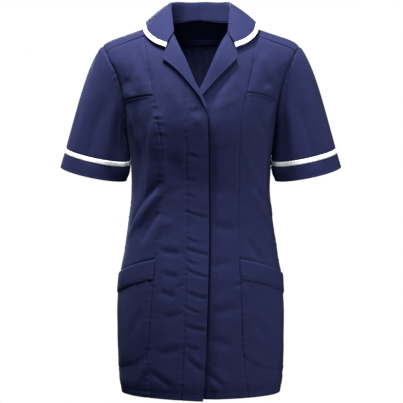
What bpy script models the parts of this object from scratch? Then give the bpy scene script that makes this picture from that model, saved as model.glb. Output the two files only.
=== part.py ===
"""A short-sleeved work tunic with a fly front, notched collar, yoke and four pockets.

Metres, +Z up. The front faces -Y and +X is the wearer's left. The origin lies between the
shoulders, at the foot of the neck. Every panel is a grid on one shell, the garment's own shape.
A place on the shell is a turn in degrees (0 at the centre front, 90 at the left side seam, 180 at
the centre back) and a level, which is a height that follows the slope of the shoulders near the top.
"""
import math

import bmesh
import bpy
from mathutils import Vector

COLLECTION = "work_tunic"

# Driving dimensions
WALL = 0.0012            # thickness of the cloth
SEAM_GAP = 0.0004        # between panels at a seam
SEAM_DROP = 0.0009       # of a panel's head below the yoke
LAYER_GAP = 0.0006       # between layers that lie on each other
HEM_LEVEL = -0.722
UNDERARM_LEVEL = -0.222
FRONT_SEAM_LEVEL = -0.018   # forward shoulder seam
BACK_SEAM_LEVEL = -0.048    # back yoke seam at the armholes
SIDE_SEAM_TURN = 90.0
PLACKET_WIDTH = 0.042
FLY_HEAD = -0.177
STRIP_INSET = 0.004      # of the buttonhole strip from the front edge
STRIP_WALL = 0.0010
LAP_DEPTH = 0.0064       # how far the left front lies under the right one
PLEAT_HALF_WIDTH = 0.012
PLEAT_DEPTH = 0.0028
PLEAT_FOLD = 0.0016         # width of the step at the pleat's edge
PLEAT_HEAD, PLEAT_FOOT = -0.060, -0.300
ARCH_FOOT = -0.150       # level below which the rows of the back run straight
LAP_HEAD, LAP_RUN = -0.085, 0.050      # where the left front starts to dip under, and how soon
LAP_WIDTH, LAP_RISE = 0.036, 0.020     # how far from its edge it stays down, and rises again
BAND_HEIGHT = 0.039
BAND_GAPE = 0.0016
POCKET_INSET = 0.0012    # from the seams beside a patch pocket
BREAST_UNDERLAP = 0.022
TUCK_RUN = 0.012         # height in which the chest panel dips behind the pocket mouth
MOUTH_RUN = 0.08         # height in which rows bend to follow the pocket mouth
POCKET_CORNER = 0.3      # share of a patch pocket's width in which its foot is rounded
TRIM_WIDTH = 0.0094
TRIM_WALL = 0.0016
NECK_LIFT = 0.0017       # of the stand over the neck edge
STAND_SHARES = (0.5, 0.88)   # places up the stand
ROLL_SHARE, ROLL_RISE, ROLL_DROP = 0.4, 0.0012, 0.003   # shape of the roll
FALL_TURN = 0.3          # station by which the fall leads straight out
EDGE_STEP = 0.02         # in station, to find the edge's direction
EDGE_LIFT = 0.0042       # of the collar's edge over the shoulders
ROLL_WIDTH = 0.0045      # of the roll along the top of the collar
FALL_BULGE = 0.0020
LAPEL_FOLD, LAPEL_LIFT = 0.0018, 0.0042
LAPEL_FOLD_SHARE = 0.25  # of the lapel's width in which it rises
BUTTON_OUT = -0.0042
BUTTON_RADIUS = 0.009
BUTTON_THICKNESS = 0.0018
SLEEVE_TRIM_HEIGHT = 0.009
CUFF_HEIGHT = 0.030
SLEEVE_PULL, SLEEVE_SET, SLEEVE_LEAN = 0.52, 0.85, 0.33
SLEEVE_HEM = {"across": 0.2160, "along": 0.006, "height": -0.288, "half_width": 0.0665,
              "half_depth": 0.050, "tilt": 0.20, "rise": 0.21}
CAP_LEAD = (0.62, -0.78)         # outward and upward share of the sleeve's direction at the shoulder
UNDERARM_LEAD = (0.86, -0.50)    # and at the underarm
SHOULDER_LEAD = (0.94, -0.34)    # run of the shoulder line into the sleeve
SLEEVE_CLEAR = 0.0019            # of the sleeve's start outside the side seam at the underarm
SLEEVE_GAP = 0.0008              # of the sleeve's start beyond the panels' edge
CAP_SHARE, CAP_END = 0.7, 110.0  # how much the cap leads down, and the angle where that ends
TOP_END = 45.0                   # angle round the armhole where the shoulder line's run ends
LOW_START, LOW_RUN = 60.0, 70.0  # angles where the armhole's lower part begins, and its run
LEAD_END = 130.0                 # angle where the sleeve has its underarm direction

# Grid of the panels
ROW_SPACING = 0.042
ARMHOLE_STEPS = 12
ROW_CLEAR = 0.008        # least height between a panel's last two rows
NORMAL_TURN, NORMAL_RISE, NORMAL_TOP = 0.6, 0.0015, -0.0003   # steps that find the way out
FRONT_COLUMNS, SIDE_COLUMNS, SIDE_BACK_COLUMNS = 7, 5, 5
BACK_STEPS = 6                   # columns from the centre back to the back princess seam
YOKE_COLUMNS, COLLAR_COLUMNS, SLEEVE_COLUMNS = 24, 32, 24
FALL_STEPS = 3

# Shell: level, half width, depth to the front and to the back, squareness of the section
SHELL = [
    # level, half, front, back, square
    (-0.722, 0.1575, 0.116, 0.122, 2.3),
    (-0.690, 0.1625, 0.119, 0.127, 2.3),
    (-0.620, 0.1635, 0.119, 0.132, 2.3),
    (-0.560, 0.1630, 0.118, 0.133, 2.3),
    (-0.500, 0.1610, 0.115, 0.128, 2.3),
    (-0.440, 0.1520, 0.109, 0.112, 2.3),
    (-0.380, 0.1435, 0.104, 0.098, 2.3),
    (-0.320, 0.1375, 0.103, 0.092, 2.3),
    (-0.270, 0.1390, 0.110, 0.097, 2.3),
    (-0.230, 0.1440, 0.118, 0.104, 2.3),
    (-0.190, 0.1500, 0.123, 0.110, 2.3),
    (-0.150, 0.1580, 0.119, 0.113, 2.3),
    (-0.110, 0.1710, 0.108, 0.112, 2.3),
    (-0.070, 0.1900, 0.091, 0.105, 2.3),
    (-0.045, 0.2080, 0.074, 0.094, 2.3),
    (-0.020, 0.2220, 0.052, 0.074, 2.3),
    (0.000, 0.2320, 0.000, 0.000, 2.3),
]
ROUND_LEVEL = -0.020     # above it the shoulders are rounded over
RIDGE_LEVEL = -0.0012    # just off the shoulder line, where the shell has a clear direction out
# Height of the shoulder line above the origin, by distance from the centre
SHOULDER = [
    # across, height
    (0.000, 0.038),
    (0.035, 0.030),
    (0.065, 0.018),
    (0.117, -0.001),
    (0.152, -0.013),
    (0.184, -0.025),
    (0.196, -0.034),
    (0.232, -0.060),
]
SLOPE_TOP, SLOPE_FOOT = -0.020, -0.210   # levels where the shoulder slope starts to fade and ends

# Largest folds: middle by turn and level, lean in degrees a metre, half length, half width in
# degrees, and how far the fold stands out
FOLDS = [
    # turn, level, lean, long, wide, out
    (-57.0, -0.367, 370.0, 0.060, 6.5, 0.0040),
    (57.0, -0.367, -370.0, 0.060, 6.5, 0.0040),
    (-44.0, -0.300, 40.0, 0.060, 4.0, 0.0022),
    (66.0, -0.290, -60.0, 0.070, 5.0, 0.0024),
    (-62.0, -0.190, -90.0, 0.070, 5.0, 0.0026),
    (60.0, -0.180, 110.0, 0.065, 5.0, 0.0026),
    (-78.0, -0.560, -40.0, 0.110, 7.0, 0.0030),
    (74.0, -0.570, 50.0, 0.110, 7.0, 0.0030),
    (132.0, -0.350, 300.0, 0.070, 8.0, 0.0045),
    (226.0, -0.345, -320.0, 0.070, 8.0, 0.0045),
    (160.0, -0.330, 380.0, 0.050, 7.0, 0.0035),
    (204.0, -0.312, -340.0, 0.050, 7.0, 0.0035),
    (122.0, -0.160, -120.0, 0.080, 6.0, 0.0040),
    (237.0, -0.165, 130.0, 0.080, 6.0, 0.0040),
    (150.0, -0.600, 60.0, 0.110, 8.0, 0.0035),
    (208.0, -0.590, -70.0, 0.110, 8.0, 0.0035),
]

# Armhole: level and turn, in front; the back mirrors it
ARMHOLE = [
    # level, turn
    (-0.222, 90.0),
    (-0.212, 83.0),
    (-0.196, 78.5),
    (-0.172, 74.5),
    (-0.136, 70.0),
    (-0.105, 66.0),
    (-0.064, 60.5),
    (-0.023, 56.2),
    (0.000, 55.5),
]
# Princess seams, wearer's right and left: level and distance from the centre
PRINCESS_RIGHT = [
    # level, across
    (-0.722, 0.1055), (-0.651, 0.1025), (-0.554, 0.0950), (-0.487, 0.0900), (-0.391, 0.0830),
    (-0.307, 0.0785), (-0.247, 0.0750), (-0.211, 0.0785), (-0.173, 0.0880), (-0.138, 0.0932),
    (-0.096, 0.1010), (-0.018, 0.1127),
]
PRINCESS_LEFT = [
    (-0.722, 0.0915), (-0.670, 0.0850), (-0.624, 0.0810), (-0.514, 0.0780), (-0.454, 0.0755),
    (-0.322, 0.0730), (-0.259, 0.0743), (-0.211, 0.0755), (-0.172, 0.0822), (-0.132, 0.0913),
    (-0.076, 0.1026), (-0.018, 0.1107),
]
# Back princess seams
BACK_PRINCESS = [
    # level, across
    (-0.722, 0.0980), (-0.600, 0.0940), (-0.500, 0.0880), (-0.400, 0.0780), (-0.320, 0.0720),
    (-0.250, 0.0760), (-0.180, 0.0860), (-0.110, 0.0980), (-0.048, 0.1060),
]
# Edge of the lapped front and the row of stitches beside it, and the neck edge that it turns into
FRONT_EDGE = [
    # level, across
    (-0.722, 0.0040), (-0.668, 0.0081), (-0.597, 0.0108), (-0.514, 0.0136), (-0.418, 0.0158),
    (-0.332, 0.0150), (-0.212, 0.0138), (-0.168, 0.0105), (-0.150, 0.0025), (-0.140, -0.0032),
    (-0.127, -0.0113), (-0.095, -0.0268), (-0.060, -0.0443), (-0.0365, -0.0536),
    (-0.018, -0.0590),
]
UNDER_EDGE = [
    (-0.722, -0.0230), (-0.500, -0.0200), (-0.212, -0.0200), (-0.168, -0.0160), (-0.145, -0.0060),
    (-0.126, 0.0060), (-0.095, 0.0225), (-0.060, 0.0395), (-0.0365, 0.0520), (-0.018, 0.0590),
]
# Lapels: place along the lapel, level of the roll line, distance and level of the outer edge
LAPEL_RIGHT = [
    # along, roll_level, outer_across, outer_level
    (0.00, -0.166, 0.0112, -0.1740),
    (0.20, -0.146, -0.0010, -0.1540),
    (0.40, -0.122, -0.0190, -0.1340),
    (0.70, -0.085, -0.0470, -0.1050),
    (0.93, -0.050, -0.0660, -0.0870),
    (1.00, -0.0405, -0.0748, -0.0790),
]
LAPEL_LEFT = [
    # along, roll_level, outer_across, outer_level
    (0.00, -0.1400, 0.0020, -0.1490),
    (0.35, -0.1120, 0.0240, -0.1280),
    (0.70, -0.0780, 0.0440, -0.1090),
    (0.93, -0.0500, 0.0620, -0.0895),
    (1.00, -0.0375, 0.0680, -0.0820),
]
# Collar: station (0 at the front end, 1 at the centre back), neck seam, roll and outer edge.
# Over is the measure over the shoulder: below 0 in front, above 0 behind.
COLLAR = [
    # station, neck_across, neck_over, roll_x, roll_y, roll_z, edge_across, edge_over
    (0.00, 0.0535, -0.188, 0.0530, -0.0700, -0.0120, 0.0665, -0.250),
    (0.14, 0.0590, -0.134, 0.0550, -0.0520, 0.0120, 0.0880, -0.215),
    (0.28, 0.0640, -0.060, 0.0575, -0.0250, 0.0400, 0.1085, -0.135),
    (0.42, 0.0660, 0.000, 0.0580, 0.0020, 0.0520, 0.1137, -0.005),
    (0.60, 0.0600, 0.047, 0.0530, 0.0300, 0.0570, 0.1010, 0.100),
    (0.80, 0.0360, 0.094, 0.0320, 0.0520, 0.0600, 0.0640, 0.168),
    (1.00, 0.0000, 0.112, 0.0000, 0.0600, 0.0610, 0.0000, 0.190),
]
YOKE_NECK_STATION = 0.14
# Back yoke seam, by distance from the centre
BACK_SEAM = [
    # across, level
    (0.000, -0.0575), (0.035, -0.0500), (0.065, -0.0430), (0.117, -0.0390), (0.152, -0.0420),
    (0.190, -0.0480),
]
SHOULDER_SHARE = 0.5
# Pocket mouths: level at the princess seam, middle and side
BREAST_MOUTH = {"inner": -0.137, "middle": -0.138, "outer": -0.148}
HIP_MOUTH = {"inner": -0.455, "middle": -0.462, "outer": -0.485}
HIP_FOOT = {"inner": -0.640, "middle": -0.664, "outer": -0.688}
BUTTON_LEVELS = (-0.192, -0.290, -0.388, -0.486, -0.584)

MATERIALS = {
    # name, colour, roughness
    "navy_cloth": ((0.028, 0.030, 0.085, 1.0), 0.78),
    "white_trim": ((0.86, 0.87, 0.90, 1.0), 0.70),
    "button_navy": ((0.030, 0.032, 0.075, 1.0), 0.35),
}


def ease(t):
    """Smooth step from 0 to 1."""
    t = min(1.0, max(0.0, t))
    return t * t * (3.0 - 2.0 * t)


def read(table, key, column=1):
    """Smooth value from a table whose first column rises, by a cubic without overshoot."""
    rows = table
    if key <= rows[0][0]:
        return rows[0][column]
    if key >= rows[-1][0]:
        return rows[-1][column]
    i = next(k for k in range(len(rows) - 1) if rows[k + 1][0] >= key)
    slopes = [(rows[k + 1][column] - rows[k][column]) / (rows[k + 1][0] - rows[k][0])
              for k in range(len(rows) - 1)]

    def tangent(k):
        if k == 0:
            return slopes[0]
        if k == len(slopes):
            return slopes[-1]
        before, after = slopes[k - 1], slopes[k]
        return 0.0 if before * after <= 0.0 else 2.0 * before * after / (before + after)

    span = rows[i + 1][0] - rows[i][0]
    t = (key - rows[i][0]) / span
    a, b = rows[i][column], rows[i + 1][column]
    ta, tb = tangent(i) * span, tangent(i + 1) * span
    return (a + ta * t + (3.0 * (b - a) - 2.0 * ta - tb) * t ** 2
            + (2.0 * (a - b) + ta + tb) * t ** 3)


def fold_out(turn, level):
    """How far the folds stand out at a place."""
    total = 0.0
    for middle, at_level, lean, long, wide, out in FOLDS:
        t = (level - at_level) / long
        if abs(t) >= 1.0:
            continue
        aside = (turn - middle - lean * (level - at_level) + 180.0) % 360.0 - 180.0
        total += out * math.exp(-(aside / wide) ** 2) * (1.0 - t * t) ** 2
    return total


def shell_point(turn, level):
    """Place on the garment's shell."""
    half, square = read(SHELL, level, 1), read(SHELL, level, 4)
    rounded = math.sqrt(max(0.0, min(1.0, level / ROUND_LEVEL)))
    front, back = (read(SHELL, min(level, ROUND_LEVEL), column) * rounded for column in (2, 3))
    angle = math.radians(turn)
    across = math.copysign(abs(math.sin(angle)) ** (2.0 / square), math.sin(angle)) * half
    depth = abs(math.cos(angle)) ** (2.0 / square)
    along = -front * depth if math.cos(angle) > 0.0 else back * depth
    fade = ease((level - SLOPE_FOOT) / (SLOPE_TOP - SLOPE_FOOT))
    grown = 1.0 + fold_out(turn, level) / max(0.05, math.hypot(across, along))
    across, along = across * grown, along * grown
    return Vector((across, along, level + read(SHOULDER, abs(across)) * fade))


def shell_normal(turn, level):
    """Direction out of the shell."""
    low, high = max(level - NORMAL_RISE, SHELL[0][0]), min(level + NORMAL_RISE, NORMAL_TOP)
    side = shell_point(turn + NORMAL_TURN, level) - shell_point(turn - NORMAL_TURN, level)
    up = shell_point(turn, high) - shell_point(turn, low)
    return side.cross(up).normalized()


def on_shell(turn, level, out=0.0):
    """Place on the shell, moved out."""
    return shell_point(turn, level) + shell_normal(turn, level) * out


def turn_at(across, level):
    """Turn in front of the garment at a distance from the centre."""
    half, square = read(SHELL, level, 1), read(SHELL, level, 4)
    share = min(1.0, abs(across) / half)
    return math.copysign(math.degrees(math.asin(share ** (square / 2.0))), across)


def armhole_turn(level):
    """Turn of the front armhole seam."""
    return read(ARMHOLE, level) if level > UNDERARM_LEVEL else SIDE_SEAM_TURN


def princess_turn(side, level):
    """Turn of a princess seam, without its sign."""
    table = PRINCESS_LEFT if side > 0 else PRINCESS_RIGHT
    return turn_at(read(table, level), level)


def trimmed(turn, level, gap):
    """A turn moved along the shell by a gap in metres."""
    step = (shell_point(turn + 0.5, level) - shell_point(turn - 0.5, level)).length
    return turn + gap / max(step, 1e-5)


def spread(low, high, count):
    """Even values from low to high."""
    return [low + (high - low) * i / (count - 1) for i in range(count)]


def make_material(name):
    """Principled material of a kind of cloth or button."""
    colour, roughness = MATERIALS[name]
    material = bpy.data.materials.new(name)
    material.use_nodes = True
    shader = material.node_tree.nodes["Principled BSDF"]
    shader.inputs["Base Color"].default_value = colour
    shader.inputs["Roughness"].default_value = roughness
    return material


def add_object(name, mesh, material):
    """Object in the garment's collection."""
    piece = bpy.data.objects.new(name, mesh)
    bpy.data.collections[COLLECTION].objects.link(piece)
    mesh.materials.append(bpy.data.materials[material])
    mesh.shade_smooth()
    mesh.set_sharp_from_angle(angle=math.radians(40.0))
    return piece


def cloth(name, columns, rows, place, material="navy_cloth", closed=False, wall=WALL, offset=0.0):
    """Sheet of cloth: a grid whose points are placed by column and row, given a wall."""
    bm = bmesh.new()
    bmesh.ops.create_grid(bm, x_segments=columns, y_segments=rows, size=1.0)
    points = {}
    for vert in bm.verts:
        column = round((vert.co.x + 1.0) / 2.0 * columns)
        row = round((vert.co.y + 1.0) / 2.0 * rows)
        points[vert] = (column, row)
    for vert, (column, row) in points.items():
        vert.co = place(column / columns, row / rows)
    if closed:
        bmesh.ops.remove_doubles(bm, verts=bm.verts, dist=1e-6)
    mesh = bpy.data.meshes.new(name)
    bm.to_mesh(mesh)
    bm.free()
    piece = add_object(name, mesh, material)
    thick = piece.modifiers.new("wall", "SOLIDIFY")
    thick.thickness = wall
    thick.offset = offset
    thick.use_even_offset = False
    return piece


def level_rows(low, high):
    """Levels of a panel's rows: even below the underarm, and those of the sleeve's points above."""
    count = max(2, round((min(high, UNDERARM_LEVEL) - low) / ROW_SPACING) + 1)
    below = spread(low, min(high, UNDERARM_LEVEL), count)
    above = [armhole_level(180.0 - 180.0 / ARMHOLE_STEPS * k) for k in range(1, ARMHOLE_STEPS)]
    return below + [level for level in above if level < high - ROW_CLEAR] + [high]


def armhole_level(round_angle):
    """Level on the armhole, from the shoulder line (0) to the underarm (180)."""
    return UNDERARM_LEVEL * math.sin(math.radians(round_angle) / 2.0) ** 2


def front_panel(name, side, edge_table):
    """Centre front panel from its princess seam to the front edge."""
    rows = level_rows(HEM_LEVEL, FRONT_SEAM_LEVEL - SEAM_DROP)

    def place(u, v):
        level = rows[round(v * (len(rows) - 1))]
        outer = side * trimmed(princess_turn(side, level), level, -SEAM_GAP)
        edge_across = read(edge_table, level)
        inner = turn_at(edge_across, level)
        turn = outer + (inner - outer) * u if side < 0 else inner + (outer - inner) * u
        out = 0.0
        if side > 0:
            across = shell_point(turn, level).x - edge_across
            lap = ease((LAP_HEAD - level) / LAP_RUN)
            out = -LAP_DEPTH * lap * (1.0 - ease((across - LAP_WIDTH) / LAP_RISE))
        return on_shell(turn, level, out)

    return cloth(name, FRONT_COLUMNS, len(rows) - 1, place)


def make_fly_strip():
    """Buttonhole strip under the lapped edge."""
    rows = [level for level in level_rows(HEM_LEVEL, FRONT_SEAM_LEVEL - SEAM_DROP)
            if level < FLY_HEAD]
    rows = [HEM_LEVEL + 0.004] + rows[1:] + [FLY_HEAD]

    def place(u, v):
        level = rows[round(v * (len(rows) - 1))]
        edge = read(FRONT_EDGE, level) - STRIP_INSET
        across = edge - (PLACKET_WIDTH - 1.5 * STRIP_INSET) * (1.0 - u)
        return on_shell(turn_at(across, level), level, -WALL - LAYER_GAP)

    return cloth("fly_strip", 2, len(rows) - 1, place, wall=STRIP_WALL)


def mouth_level(mouth, u):
    """Level of a pocket mouth, from the princess seam (0) to the side (1)."""
    bow = mouth["middle"] - (mouth["inner"] + mouth["outer"]) / 2.0
    return mouth["inner"] + (mouth["outer"] - mouth["inner"]) * u + bow * 4.0 * u * (1.0 - u)


def side_turn(side, level, u, gap=SEAM_GAP):
    """Turn on a side front panel, from its princess seam (0) to the armhole or side seam (1)."""
    inner = trimmed(princess_turn(side, level), level, gap)
    outer = trimmed(armhole_turn(level), level, -gap)
    return side * (inner + (outer - inner) * u)


def side_panel(name, side, upper):
    """Side front panel above or below the breast pocket mouth."""
    outer = BREAST_MOUTH["outer"]
    if upper:
        above = level_rows(HEM_LEVEL, FRONT_SEAM_LEVEL - SEAM_DROP)
        rows = [outer - BREAST_UNDERLAP, outer + 0.001, outer + TUCK_RUN]
        rows += [level for level in above if level > outer + 1.5 * TUCK_RUN]
    else:
        rows = level_rows(HEM_LEVEL, outer)

    def place(u, v):
        share = u if side > 0 else 1.0 - u
        row = rows[round(v * (len(rows) - 1))]
        mouth = mouth_level(BREAST_MOUTH, share)
        if upper:
            level = row + (mouth - outer) * ease((FRONT_SEAM_LEVEL - row) / MOUTH_RUN)
            out = -(WALL + LAYER_GAP) if row < outer + TUCK_RUN else 0.0
        else:
            level = row + (mouth - outer) * ease((row - outer + MOUTH_RUN) / MOUTH_RUN)
            out = 0.0
        return on_shell(side_turn(side, level, share), level, out)

    return cloth(name, SIDE_COLUMNS, len(rows) - 1, place)


def hip_pocket(name, side):
    """Patch pocket from under its band to a rounded foot."""
    def place(u, v):
        share = u if side > 0 else 1.0 - u
        head = mouth_level(HIP_MOUTH, share) - BAND_HEIGHT - SEAM_GAP
        foot = HIP_FOOT["inner"] + (HIP_FOOT["middle"] - HIP_FOOT["inner"]) * ease(share / POCKET_CORNER)
        foot += (HIP_FOOT["outer"] - HIP_FOOT["middle"]) * share
        level = foot + (head - foot) * v
        return on_shell(side_turn(side, level, share, POCKET_INSET), level, WALL + LAYER_GAP)

    return cloth(name, SIDE_COLUMNS, 6, place)


def hip_band(name, side):
    """Band along the mouth of a hip pocket, which gapes a little."""
    def place(u, v):
        share = u if side > 0 else 1.0 - u
        level = mouth_level(HIP_MOUTH, share) - BAND_HEIGHT * (1.0 - v)
        gape = BAND_GAPE * v * math.sin(math.pi * share)
        turn = side_turn(side, level, share, POCKET_INSET)
        return on_shell(turn, level, WALL + LAYER_GAP + gape)

    return cloth(name, SIDE_COLUMNS, 2, place)


def over_shoulder(across, over, out=0.0):
    """Place by distance from the centre and by a measure over the shoulder: below 0 in front of
    the shoulder line, above 0 behind it, and the level is its square."""
    level = -max(over * over, 1e-7)
    turn = turn_at(across, level)
    if over > 0.0:
        turn = math.copysign(180.0, across) - turn if across else 180.0
    normal = shell_normal(turn, min(level, RIDGE_LEVEL))
    return shell_point(turn, level) + normal * out


def armhole_across(over, gap=0.0):
    """Distance of the armhole from the centre at a measure over the shoulder."""
    level = -over * over
    return shell_point(armhole_turn(level), level).x + gap


def neck_seam(s):
    """Neck seam by station: its distance from the centre and its measure over the shoulder."""
    return read(COLLAR, s, 1), read(COLLAR, s, 2)


def make_yoke():
    """Yoke from the back seam over the shoulders to the forward seams, round the neck."""
    front_over, back_over = -math.sqrt(-FRONT_SEAM_LEVEL), math.sqrt(-BACK_SEAM_LEVEL)

    def place(u, v):
        side = -1.0 if u < 0.5 else 1.0
        s = 1.0 - abs(2.0 * u - 1.0)
        across_in, over_in = neck_seam(YOKE_NECK_STATION + (1.0 - YOKE_NECK_STATION) * s)
        if s < SHOULDER_SHARE:
            over_out = front_over + (back_over - front_over) * s / SHOULDER_SHARE
            across_out = armhole_across(over_out, -SEAM_GAP)
        else:
            corner = armhole_across(back_over, -SEAM_GAP)
            across_out = corner * (1.0 - s) / (1.0 - SHOULDER_SHARE)
            over_out = math.sqrt(-read(BACK_SEAM, across_out))
        over_in = front_over if s == 0.0 else over_in
        across = across_in + (across_out - across_in) * (1.0 - v)
        over = over_in + (over_out - over_in) * (1.0 - v)
        return over_shoulder(side * across, over)

    return cloth("yoke", YOKE_COLUMNS, 6, place)


def arched(across, row):
    """Level of a back panel's row at a distance from the centre: the top rows follow the yoke."""
    arch = read(BACK_SEAM, across) - BACK_SEAM_LEVEL
    return row + arch * ease((row - ARCH_FOOT) / (BACK_SEAM_LEVEL - SEAM_DROP - ARCH_FOOT))


def make_back():
    """Centre back between the back princess seams, with its pleat."""
    rows = level_rows(HEM_LEVEL, BACK_SEAM_LEVEL - SEAM_DROP)
    near = (0.0, PLEAT_HALF_WIDTH, PLEAT_HALF_WIDTH + PLEAT_FOLD)

    def place(u, v):
        row = rows[round(v * (len(rows) - 1))]
        column = round(u * 2 * BACK_STEPS) - BACK_STEPS
        steps = abs(column)
        seam = read(BACK_PRINCESS, row) - SEAM_GAP
        share = (steps - 2) / (BACK_STEPS - 2)
        across = near[steps] if steps < 2 else near[2] + (seam - near[2]) * share
        level = arched(across, row)
        depth = PLEAT_DEPTH * ease((level - PLEAT_FOOT) / (PLEAT_HEAD - PLEAT_FOOT))
        turn = math.copysign(turn_at(across, level), column)
        return on_shell(180.0 - turn, level, depth if steps < 2 else 0.0)

    return cloth("back", 2 * BACK_STEPS, len(rows) - 1, place)


def side_back(name, side):
    """Side back from its princess seam to the side seam and the armhole."""
    rows = level_rows(HEM_LEVEL, BACK_SEAM_LEVEL - SEAM_DROP)

    def place(u, v):
        row = rows[round(v * (len(rows) - 1))]
        inner = turn_at(read(BACK_PRINCESS, row) + SEAM_GAP, row)
        outer = trimmed(armhole_turn(row), row, -SEAM_GAP)
        turn = inner + (outer - inner) * u
        across = shell_point(turn, row).x
        level = arched(across, row)
        if level != row:
            turn = turn_at(across, level)
        return on_shell(180.0 - side * turn, level)

    return cloth(name, SIDE_BACK_COLUMNS, len(rows) - 1, place)


def collar_section(side, s):
    """Points across the collar at a station: up the stand, round the roll and down the fall."""
    neck_across, neck_over, roll_x, roll_y, roll_z, edge_across, edge_over = (
        read(COLLAR, s, column) for column in range(1, 8))
    neck = over_shoulder(side * neck_across, neck_over, NECK_LIFT)
    roll = Vector((side * roll_x, roll_y, roll_z))
    edge = over_shoulder(side * edge_across, edge_over, EDGE_LIFT)
    away = edge - roll
    away = (away - Vector((0.0, 0.0, away.z)) * ease(s / FALL_TURN)).normalized()
    shoulder = roll + away * ROLL_WIDTH + (edge - roll).normalized() * ROLL_DROP
    points = [neck] + [neck.lerp(roll, share) for share in STAND_SHARES]
    points.append(roll + away * ROLL_WIDTH * ROLL_SHARE + (roll - neck).normalized() * ROLL_RISE)
    bulge = (edge - shoulder).cross(collar_along(side, s)).normalized()
    for k in range(FALL_STEPS + 1):
        t = k / FALL_STEPS
        points.append(shoulder.lerp(edge, t) + bulge * side * FALL_BULGE * 4.0 * t * (1.0 - t))
    return points


def collar_along(side, s):
    """Direction of the collar's edge at a station."""
    low, high = max(0.0, s - EDGE_STEP), min(1.0, s + EDGE_STEP)
    a = over_shoulder(side * read(COLLAR, low, 6), read(COLLAR, low, 7))
    b = over_shoulder(side * read(COLLAR, high, 6), read(COLLAR, high, 7))
    return (b - a).normalized()


def collar_cut(points, width):
    """Share of the last step of the fall that leaves a width for the trim."""
    return 1.0 - width / (points[-1] - points[-2]).length


def make_collar():
    """Collar: stand and fall all round the neck, up to its trim."""
    count = 4 + FALL_STEPS

    def place(u, v):
        side = -1.0 if u < 0.5 else 1.0
        points = collar_section(side, 1.0 - abs(2.0 * u - 1.0))
        row = round(v * count)
        if row == count:
            share = collar_cut(points, TRIM_WIDTH + SEAM_GAP)
            return points[-2].lerp(points[-1], share)
        return points[row]

    return cloth("collar", COLLAR_COLUMNS, count, place)


def make_collar_trim():
    """White binding along the outer edge of the collar."""
    def place(u, v):
        side = -1.0 if u < 0.5 else 1.0
        points = collar_section(side, 1.0 - abs(2.0 * u - 1.0))
        share = collar_cut(points, TRIM_WIDTH)
        return points[-2].lerp(points[-1], share + (1.0 - share) * v)

    return cloth("collar_trim", COLLAR_COLUMNS, 1, place, "white_trim", wall=TRIM_WALL)


def lapel(name, side, table, edge_table):
    """Lapel turned back at its roll line and lying on the front panel."""
    def place(u, v):
        share = u if side > 0 else 1.0 - u
        roll_level, outer_across, outer_level = (read(table, v, column) for column in (1, 2, 3))
        roll_across = read(edge_table, roll_level)
        across = roll_across + (outer_across - roll_across) * share
        level = roll_level + (outer_level - roll_level) * share
        lift = LAPEL_FOLD + (LAPEL_LIFT - LAPEL_FOLD) * ease(share / LAPEL_FOLD_SHARE)
        if side > 0:
            beside = across - read(edge_table, level) - LAP_WIDTH
            lap = ease((LAP_HEAD - level) / LAP_RUN) * (1.0 - ease(beside / LAP_RISE))
            lift -= LAP_DEPTH * lap
        return on_shell(turn_at(across, level), level, lift)

    return cloth(name, 5, 10, place)


def armhole_point(side, round_angle):
    """Start of the sleeve and its direction, by the angle round the armhole from the shoulder."""
    folded = round_angle if round_angle <= 180.0 else 360.0 - round_angle
    back = round_angle > 180.0
    level = min(armhole_level(folded), -1e-6)

    def turn_on(at_level):
        turn = armhole_turn(at_level) if at_level > UNDERARM_LEVEL else SIDE_SEAM_TURN
        return side * (180.0 - turn if back else turn)

    near = max(UNDERARM_LEVEL + 0.0005, min(level, RIDGE_LEVEL))
    normal = shell_normal(turn_on(level), near)
    high = near + 0.004 if near < -0.006 else near
    low = min(max(near - 0.004, UNDERARM_LEVEL + 0.0001), high - 0.002)
    along = (shell_point(turn_on(high), high) - shell_point(turn_on(low), low)).normalized()
    into = along.cross(normal).normalized()
    if into.x * side < 0.0:
        into.negate()
    top = 1.0 - ease(folded / TOP_END)
    shoulder = Vector((side * SHOULDER_LEAD[0], 0.0, SHOULDER_LEAD[1]))
    into = (into * (1.0 - top) + shoulder * top).normalized()
    low_part = ease((folded - LOW_START) / LOW_RUN)
    into_low = (into * (1.0 - low_part) + Vector((0.0, 0.0, 1.0)) * low_part).normalized()
    start = shell_point(turn_on(level), level)
    start += into_low * SLEEVE_GAP + normal * SLEEVE_CLEAR * low_part
    outward = Vector((side * UNDERARM_LEAD[0], 0.0, UNDERARM_LEAD[1]))
    down = Vector((side * CAP_LEAD[0], 0.0, CAP_LEAD[1]))
    lead = into.lerp(outward, ease(folded / LEAD_END)).normalized()
    lead = lead.lerp(down, CAP_SHARE * (1.0 - ease(folded / CAP_END)))
    return start, lead


def cuff_point(side, round_angle):
    """Place on the hem of the cuff, by the angle from its outer end."""
    a = math.radians(round_angle)
    centre = Vector((side * SLEEVE_HEM["across"], SLEEVE_HEM["along"], SLEEVE_HEM["height"]))
    wide = Vector((side, 0.0, SLEEVE_HEM["rise"])).normalized()
    deep = Vector((0.0, -1.0, -SLEEVE_HEM["tilt"])).normalized()
    return (centre + wide * SLEEVE_HEM["half_width"] * math.cos(a)
            + deep * SLEEVE_HEM["half_depth"] * math.sin(a))


def sleeve_point(side, round_angle, v):
    """Place on the sleeve: v runs from the armhole to the hem."""
    start, lead = armhole_point(side, round_angle)
    end = cuff_point(side, round_angle)
    reach = (end - start).length
    folded = min(round_angle, 360.0 - round_angle)
    first = lead.normalized() * reach * SLEEVE_PULL
    last = Vector((side * SLEEVE_LEAN, 0.0, -1.0)).normalized() * reach * SLEEVE_SET
    return (start * (2 * v ** 3 - 3 * v ** 2 + 1) + first * (v ** 3 - 2 * v ** 2 + v)
            + end * (3 * v ** 2 - 2 * v ** 3) + last * (v ** 3 - v ** 2))


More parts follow.
